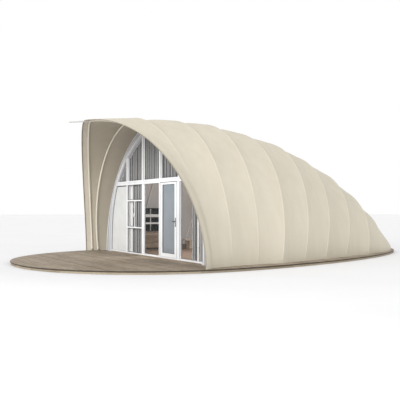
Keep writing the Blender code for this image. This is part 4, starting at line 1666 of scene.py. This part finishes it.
    def build_window_gaskets(self) -> None:
        """Put a black gasket around each pane of the window, behind the rails; the dark line is partly
        painted shade at the panes' edges.
        """
        made = Form()
        left = self.bar_edges(0)[1]
        right = self.bar_edges(1)[0]
        middle = (left + right) / 2
        first, second = self.window_levels
        half = self.rail_half
        cells = [
            (left, right, self.sill, first - half),
            (left, middle - half, first + half, second - half),
            (middle + half, right, first + half, second - half),
            (left, right, second + half, self.transom[0]),
        ]
        for x_low, x_high, z_low, z_high in cells:
            self.ring(made, (x_low, z_low), (x_high, z_high), width=0.012, depth=(0.024, 0.0365))
        made.add("window_gaskets", [self.finishes.gasket], Slot.CLEAR_GLASS)

    def build_door_seal(self) -> None:
        """Run a thin black seal around the door opening, on the frame's face; it is partly painted shade
        along the gap around the door.
        """
        made = Form()
        left = self.bar_edges(2)[1]
        right = self.bar_edges(3)[1] - self.door_post
        outer_left, outer_right = left - 0.006, right + 0.008
        low, high = self.sill, self.transom[0]
        sides = ((right, outer_right, low, high), (outer_left, left, low, high),
                 (outer_left, outer_right, high, high + 0.010))
        for x_low, x_high, z_low, z_high in sides:
            made.box((x_low, -0.0018, z_low), (x_high, 0.006, z_high), 0.0008)
        made.add("door_seal", [self.finishes.gasket], Slot.FRAME_PAINT)

    def build_transom_strip(self) -> None:
        """Add the drip strip that runs along the middle of the transom."""
        made = Form()
        middle = sum(self.transom) / 2 + 0.012
        half = self.line.half_width(middle) - 0.004
        corners = ((-0.012, -0.004), (0.004, -0.006), (0.004, 0.008), (-0.008, 0.004))
        made.prism([(y, middle + rise) for y, rise in corners], -half, half, Axis.X, chamfer=0.001)
        made.add("transom_strip", [self.finishes.frame_white], Slot.FRAME_PAINT)

    def ring(self, made: Form, low: Pair, high: Pair, width: float,
             depth: Pair) -> None:
        """Add a four-sided frame, drawn out along Y.

        Args:
            made: Form that takes the frame.
            low: Left and lower end of its outside.
            high: Right and upper end of its outside.
            width: Width of its sides.
            depth: Front and back.
        """
        left, bottom = low
        right, top = high
        sides = ((left, left + width, bottom, top), (right - width, right, bottom, top),
                 (left + width, right - width, bottom, bottom + width),
                 (left + width, right - width, top - width, top))
        for x_low, x_high, z_low, z_high in sides:
            made.box((x_low, depth[0], z_low), (x_high, depth[1], z_high), 0.001)

    def build_latch(self) -> None:
        """Make the small latch on the window's middle bar."""
        made = Form()
        plate = (0.014, -0.006, 0.011, 1.17, 1.27)
        hub = (0.009, -0.024, -0.004, 1.20, 1.222)
        grip = (0.009, -0.030, -0.016, 1.12, 1.222)
        for half, front, back, low, high in (plate, hub, grip):
            made.box((self.latch_x - half, front, low), (self.latch_x + half, back, high), 0.004)
        made.add("window_latch", [self.finishes.frame_white], Slot.FRAME_PAINT)


@dataclass
class Door:
    """The door leaf with its glass, beads, lever set and hinges."""

    finishes: Finishes
    left: float = 0.561
    right: float = 1.453
    low: float = 0.076
    high: float = 2.074
    stile: float = 0.11
    bottom_rail: float = 0.09
    top_rail: float = 0.045
    bead_faces: tuple[Pair, ...] = ((0.006, 0.0215), (0.0285, 0.044))
    lever_height: float = 1.035
    lever_length: float = 0.096
    lever_bend: float = 0.012
    plate_low: float = 0.8975
    plate_height: float = 0.235
    plate_half: float = 0.02

    def build(self) -> None:
        """Dress the leaf and add what the CAD leaves out."""
        dress_node("door_leaf", self.finishes.frame_white, 0.003)
        dress_node("door_glass", self.finishes.tinted)
        for place in ("lower_hinge", "upper_hinge"):
            for half in ("frame", "leaf"):
                dress_node(f"{place}_on_{half}", self.finishes.hinge, 0.0006)
        self.build_beads()
        self.build_lever()

    def build_beads(self) -> None:
        """Put a mitred bead with a gasket around the glass on both faces."""
        made = Form()
        for front, back in self.bead_faces:
            for finish, start, end in ((0, 0.0, 0.010), (1, 0.010, 0.019)):
                outer = self.light_corners(start)
                inner = self.light_corners(end)
                rings = []
                for (a, b), (c, d) in zip(outer, inner):
                    section = ((a, front, b), (c, front + 0.003, d), (c, back, d), (a, back, b))
                    rings.append([Vector(corner) for corner in section])
                made.grid([*rings, rings[0]], finish, wrap=True)
        bmesh.ops.remove_doubles(made.mesh, verts=made.mesh.verts, dist=0.00001)
        materials = [self.finishes.frame_white, self.finishes.gasket]
        made.add("door_beads", materials, Slot.FRAME_PAINT, Body.DOOR)

    def light_corners(self, inset: float) -> Outline:
        """Find the corners of the glass opening.

        Args:
            inset: Distance that they move inwards.

        Returns:
            Pairs of X and Z.
        """
        left = self.left + self.stile + inset
        right = self.right - self.stile - inset
        low = self.low + self.bottom_rail + inset
        high = self.high - self.top_rail - inset
        return [(left, low), (right, low), (right, high), (left, high)]

    def build_lever(self) -> None:
        """Make the long plate, the rounded lever and the key cylinder."""
        made = Form()
        middle = self.right - self.stile / 2
        low = self.plate_low
        high = low + self.plate_height
        made.box((middle - self.plate_half, -0.0035, low), (middle + self.plate_half, -GAP, high), 0.0015)
        screw = [(0.006, 0), (0.006, 0.001), (0.004, 0.002)]
        hub = [(0.016, 0), (0.016, 0.004), (0.0105, 0.007), (0.0105, 0.036)]
        key = [(0.009, 0), (0.009, 0.006), (0.0075, 0.008)]
        turned = [(low + 0.014, screw, 16), (high - 0.014, screw, 16), (self.lever_height, hub, 20),
                  (self.lever_height - 0.085, key, 18)]
        for z, profile, sides in turned:
            made.lathe(Vector((middle, -0.003, z)), FORWARD, profile, sides)
        made.tube(self.lever_path(middle), 0.0088, 14)
        made.add("lever_set", [self.finishes.lever], Slot.DARK_METAL, Body.DOOR, replaces=["door_lever"])

    def lever_path(self, start: float) -> list[Vector]:
        """Draw the middle line of the lever, a quarter bend and then a straight grip.

        Args:
            start: Place of the hub along X.

        Returns:
            Points from the hub to the tip.
        """
        bend_share = 0.25
        path = []
        for step in range(13):
            share = step / 12
            turn = min(share / bend_share, 1.0) * math.pi / 2
            grip = max(share - bend_share, 0.0) / (1 - bend_share) * self.lever_length
            x = start - self.lever_bend * (1 - math.cos(turn)) - grip
            path.append(Vector((x, -0.033 - self.lever_bend * math.sin(turn), self.lever_height)))
        return path


# Curtains and furniture

@dataclass(frozen=True)
class Pleats:
    """Depth of a gathered curtain across its width, from a few seeded waves."""

    pitch: float
    depth: float
    seed: int

    def wave(self, x: float, drop: float) -> float:
        """Return how far the cloth stands back from its front plane.

        Args:
            x: Place across the curtain.
            drop: Share of the way down from the rail.

        Returns:
            Depth from 0 to the full depth.
        """
        chance = random.Random(self.seed)
        shifts = [chance.uniform(0, 2 * math.pi) for _ in range(3)]
        turn = 2 * math.pi * x / self.pitch
        turn += 0.8 * math.sin(turn * 0.37 + shifts[0]) + 0.3 * drop * math.sin(turn * 0.5)
        valley = (0.5 - 0.5 * math.cos(turn)) ** 1.3
        reach = 0.75 + 0.25 * math.sin(turn * 0.61 + shifts[1])
        ripple = 0.06 * math.sin(turn * 2.3 + shifts[2] + drop)
        return self.depth * min(max(valley * reach + ripple, 0.0), 1.0)


@dataclass
class Curtains:
    """Gathered curtains behind the upper lights, the window and the side light."""

    front: GlazedFront
    finishes: Finishes
    thickness: float = 0.0016
    rows: int = 14
    columns_per_fold: int = 16
    least_columns: int = 24

    def build(self) -> None:
        """Hang every curtain."""
        grey = self.finishes.curtain
        white = self.finishes.sheer
        for number, (left, right) in enumerate(self.front.upper_lights(2.26), start=1):
            pleats = Pleats(pitch=0.11, depth=0.10, seed=number)
            replaced = ["upper_curtain"] if number == 1 else []
            span = (left + 0.02, right - 0.02)
            self.hang(f"upper_curtain_{number}", span, self.upper_top, pleats, grey, replaced,
                      low=2.145, plane=0.0875)
        window = self.window_top
        side = self.side_top
        lower = (
            ("window_curtain_left", (-1.66, -1.535), window, Pleats(0.08, 0.06, 14), grey, []),
            ("window_curtain_white", (-1.53, -1.32), window, Pleats(0.105, 0.03, 11), white,
             ["window_curtain"]),
            ("window_curtain_grey", (-1.30, -0.63), window, Pleats(0.12, 0.10, 12), grey, []),
            ("side_curtain_grey", (2.08, 2.32), side, Pleats(0.10, 0.09, 13), grey, ["side_curtain"]),
            ("side_curtain_white", (2.335, 2.41), side, Pleats(0.075, 0.012, 15), white, []),
            ("side_curtain_edge", (2.43, 2.56), self.edge_top, Pleats(0.065, 0.04, 16), grey, []),
        )
        for curtain in lower:
            self.hang(*curtain)
        self.build_rails()

    def upper_top(self, x: float) -> float:
        """Return the top of the upper curtains, under the arched frame."""
        return self.front.line.height_at(min(abs(x), 2.66)) - 0.02

    @staticmethod
    def window_top(x: float) -> float:
        """Return the top of the window's curtains, the same everywhere."""
        return 2.115

    def side_top(self, x: float) -> float:
        """Return the top of the side curtain, under the arched frame."""
        return min(self.front.line.height_at(x) - 0.03, 1.95)

    def edge_top(self, x: float) -> float:
        """Return the top of the narrow curtain beside the arched frame."""
        return self.front.line.height_at(x) - 0.04

    def hang(self, name: str, span: Pair, top: Callable[[float], float], pleats: Pleats,
             material: Material, replaces: Sequence[str], low: float = 0.075, plane: float = 0.084) -> None:
        """Args:
            name: Name of the piece.
            span: Left and right end.
            top: Height of the rail over a place across the front.
            pleats: Folds of the cloth.
            material: Cloth finish.
            replaces: CAD nodes that it stands for.
            low: Height of the lower hem.
            plane: Place in Y of the front folds.
        """
        columns = max(int((span[1] - span[0]) / pleats.pitch * self.columns_per_fold), self.least_columns)
        rows = self.rows
        nets: Nets = ([], [])
        for drop in [row / rows for row in range(rows + 1)]:
            spread = 1 - 0.25 * (1 - drop) ** 3
            for net, shift in zip(nets, (0.0, self.thickness)):
                points = []
                for column in range(columns + 1):
                    x = mix(*span, column / columns)
                    y = plane + pleats.wave(x, drop) * spread + shift
                    points.append(Vector((x, y, mix(top(x), low, drop))))
                net.append(points)
        made = Form()
        made.skins(*nets)
        piece = made.add(name, [material], Slot.CURTAIN, replaces=replaces, smooth=80)

    def build_rails(self) -> None:
        """Make the rails that carry the curtains."""
        made = Form()
        for left, right, low, high in ((-1.55, -0.49, 2.112, 2.128), (2.06, 2.40, 1.955, 1.972)):
            made.box((left, 0.083, low), (right, 0.113, high), 0.002)
        path = self.front.line.path(24, self.front.transom[1])
        moves = [normal * 0.008 for normal in self.front.line.normals(path)]
        made.tube([Vector((x - move.x, 0.098, z - move.y)) for (x, z), move in zip(path, moves)], 0.009, 8)
        made.add("curtain_rails", [self.finishes.frame_white], Slot.FRAME_PAINT, smooth=50)


@dataclass
class Furniture:
    """The low cabinet, the open shelves on it, the stool and the dark box, all along one wall."""

    finishes: Finishes
    wall_x: float = -2.85
    depth: float = 0.45
    ends: Pair = (0.75, 2.05)
    height: float = 0.62
    plinth: float = 0.09
    top_board: float = 0.025
    floor: float = 0.0143
    drawer_rows: int = 3
    drawer_pitch: float = 0.166
    shelf_depth: float = 0.30
    shelf_height: float = 0.76
    boards: tuple[Pair, ...] = ((0.0, 0.03), (0.24, 0.30), (0.47, 0.57), (0.745, 0.775))

    def build(self) -> None:
        """Build every piece of furniture."""
        self.build_cabinet()
        self.build_shelves()
        self.build_stool()
        self.build_dark_box()

    def build_cabinet(self) -> None:
        """Make the carcass with a plinth, a top and rows of two drawers; the plinth and strips in the drawer
        gaps are dark as painted shade.
        """
        made = Form()
        wall = self.wall_x
        front = wall + self.depth
        face = front - 0.02
        low, high = self.ends
        under = self.height - self.top_board
        # Painted shade: the recessed plinth is dark
        made.box((wall + 0.01, low + 0.01, self.floor), (front - 0.05, high - 0.01, self.plinth), 0.002, 1)
        made.box((wall, low, self.plinth), (face, high, under), 0.002)
        made.box((wall, low, under), (front, high, self.height))
        middle = (low + high) / 2
        for row in range(self.drawer_rows):
            foot = self.plinth + 0.004 + row * self.drawer_pitch
            top = foot + self.drawer_pitch - 0.014
            for start, end in ((low, middle), (middle, high)):
                made.box((face, start + 0.0015, foot), (front - 0.001, end - 0.0015, top), 0.002)
            # Painted shade: a dark strip in the gap above each row of drawers
            made.box((face, low + 0.004, top + 0.001), (front - 0.01, high - 0.004, top + 0.013), 0.001, 1)
        materials = [self.finishes.cabinet, self.finishes.dark_box]
        made.add("cabinet_piece", materials, Slot.CABINET_WOOD, replaces=["low_cabinet"])

    def build_shelves(self) -> None:
        """Make the black shelf unit with its light board edges and middle post."""
        made = Form()
        wall = self.wall_x
        panel = wall + 0.02
        edge = wall + self.shelf_depth
        bottom = self.height + GAP
        low, high = self.ends
        made.box((wall, low, bottom), (panel, high, bottom + self.boards[-1][1]), 0.002)
        for number, (start, end) in enumerate(self.boards):
            light = 1 if number in (1, 2) else 0
            made.box((panel, low, bottom + start), (edge - 0.012, high, bottom + end), 0.002)
            made.box((edge - 0.012, low, bottom + start), (edge, high, bottom + end), 0.002, light)
        middle = (low + high) / 2 - 0.06
        posts = ((panel, low + 0.009, 0.009, 0), (panel, high - 0.009, 0.009, 0),
                 (edge - 0.05, middle, 0.012, 1))
        foot, top = bottom + 0.02, bottom + self.shelf_height
        for x, y, half, light in posts:
            made.box((x, y - half, foot), (edge - 0.014, y + half, top), 0.002, light)
        materials = [self.finishes.black, self.finishes.edge]
        made.add("shelf_unit", materials, Slot.SHELF_BLACK, replaces=["open_shelves"])

    def build_stool(self) -> None:
        """Make the low wooden stool on two front legs and a back panel."""
        made = Form()
        top = 0.286
        made.box((-2.80, 2.67, 0.285), (-2.45, 2.90, 0.32), 0.004)
        for x in (-2.79, -2.485):
            made.box((x, 2.675, self.floor), (x + 0.025, 2.69, top), 0.002)
        made.box((-2.79, 2.80, self.floor), (-2.46, 2.895, top))
        made.add("stool_piece", [self.finishes.stool], Slot.CABINET_WOOD, replaces=["wooden_stool"])

    def build_dark_box(self) -> None:
        """Make the dark box with its lid, beside the stool."""
        made = Form()
        for low, high, soft in ((self.floor, 0.15, 0.006), (0.153, 0.17, 0.004)):
            made.box((-2.80, 2.44, low), (-2.45, 2.65, high), soft)
        made.add("box_piece", [self.finishes.dark_box], Slot.SHELF_BLACK, replaces=["dark_box"])


# The studio

@dataclass
class Studio:
    """Pale floor, soft light and the camera at the photograph's viewing angle."""

    camera_place: tuple[float, float, float] = (14.652, -10.487, 1.433)
    camera_turn: float = math.radians(57.67)
    camera_roll: float = math.radians(0.112)
    focal_pixels: float = 585.6
    horizon_pixels: float = 9.42
    picture: float = 400.0
    floor_half: float = 140.0
    floor_level: float = -0.001

    def build(self) -> None:
        """Set up camera, floor, sky and lights."""
        self.build_camera()
        self.build_floor()
        self.build_sky()
        self.add_sun("front_sun", (0.35, -0.85, 0.34), strength=1.52, softness=35.0)
        self.add_sun("side_sun", (0.97, 0.05, 0.12), strength=0.46, softness=50.0)
        self.add_soft_box("key_light", (10.0, -12.0, 5.0), (2.0, -3.0, 1.5), size=4.0, power=235.0)
        self.add_soft_box("room_light", (0.6, -1.35, 2.5), (-0.9, -0.8, 0.0), size=1.5, power=106.0)
        self.add_soft_box("hood_light", (1.6, -4.4, 1.2), (-1.2, -4.8, 3.6), size=1.0, power=18.0)
        bpy.context.scene.view_settings.view_transform = "Standard"

    def build_camera(self) -> None:
        """Place the camera."""
        data = bpy.data.cameras.new("photo_camera")
        data.sensor_width = 36.0
        data.lens = self.focal_pixels / self.picture * data.sensor_width
        data.shift_y = self.horizon_pixels / self.picture
        camera = put_in_scene("photo_camera", data)
        turn = Matrix.Rotation(self.camera_turn, 3, "Z")
        level = Matrix.Rotation(math.pi / 2, 3, "X")
        roll = Matrix.Rotation(self.camera_roll, 3, "Z")
        camera.rotation_euler = (turn @ level @ roll).to_euler()
        camera.location = self.camera_place
        bpy.context.scene.camera = camera

    def build_floor(self) -> None:
        """Lay the pale floor."""
        mesh = bmesh.new()
        bmesh.ops.create_grid(mesh, x_segments=4, y_segments=4, size=self.floor_half)
        data = bpy.data.meshes.new("studio_floor")
        mesh.to_mesh(data)
        mesh.free()
        floor = put_in_scene("studio_floor", data)
        floor.location.z = self.floor_level
        shader = Shader("studio_floor", roughness=0.9)
        tone = shader.blend(shader.noise(size=3.0), (225, 225, 226), (228, 228, 229))
        data.materials.append(shader.finish(tone))

    def build_sky(self) -> None:
        """Light the scene evenly from all round."""
        world = bpy.data.worlds.new("studio_sky")
        world.use_nodes = True
        background = world.node_tree.nodes["Background"]
        background.inputs["Color"].default_value = (1.0, 1.0, 1.0, 1.0)
        background.inputs["Strength"].default_value = 1.0
        bpy.context.scene.world = world

    def add_sun(self, name: str, towards: Sequence[float], strength: float, softness: float) -> None:
        """Add one far, soft light.

        Args:
            name: Name of the light.
            towards: Direction from the tent to the light.
            strength: Strength of the light.
            softness: Angle that the light fills, in degrees.
        """
        data = bpy.data.lights.new(name, "SUN")
        data.energy = strength
        data.angle = math.radians(softness)
        light = put_in_scene(name, data)
        light.rotation_euler = Vector(towards).to_track_quat("Z", "Y").to_euler()

    def add_soft_box(self, name: str, place: Sequence[float], aim: Sequence[float], size: float,
                     power: float) -> None:
        """Add one soft square light.

        Args:
            name: Name of the light.
            place: Where it hangs.
            aim: Point that it looks at.
            size: Length of its sides.
            power: Power in watts.
        """
        data = bpy.data.lights.new(name, "AREA")
        data.size = size
        data.energy = power
        light = put_in_scene(name, data)
        light.location = place
        light.visible_camera = False
        light.rotation_euler = (Vector(aim) - Vector(place)).to_track_quat("-Z", "Y").to_euler()


def main() -> None:
    """Build and dress the tent, piece group by piece group."""
    logging.basicConfig(level=logging.INFO, format="%(name)s: %(message)s")
    Studio().build()
    finishes = Finishes()
    form = TentForm()
    front = GlazedFront(form, finishes)
    groups = [
        Deck(form, finishes),
        Poles(form, finishes),
        Membrane(form, finishes),
        front,
        Door(finishes),
        Curtains(front, finishes),
        Furniture(finishes),
    ]
    for group in groups:
        group.build()
        LOG.info("built %s", type(group).__name__)


if __name__ == "__main__":
    main()
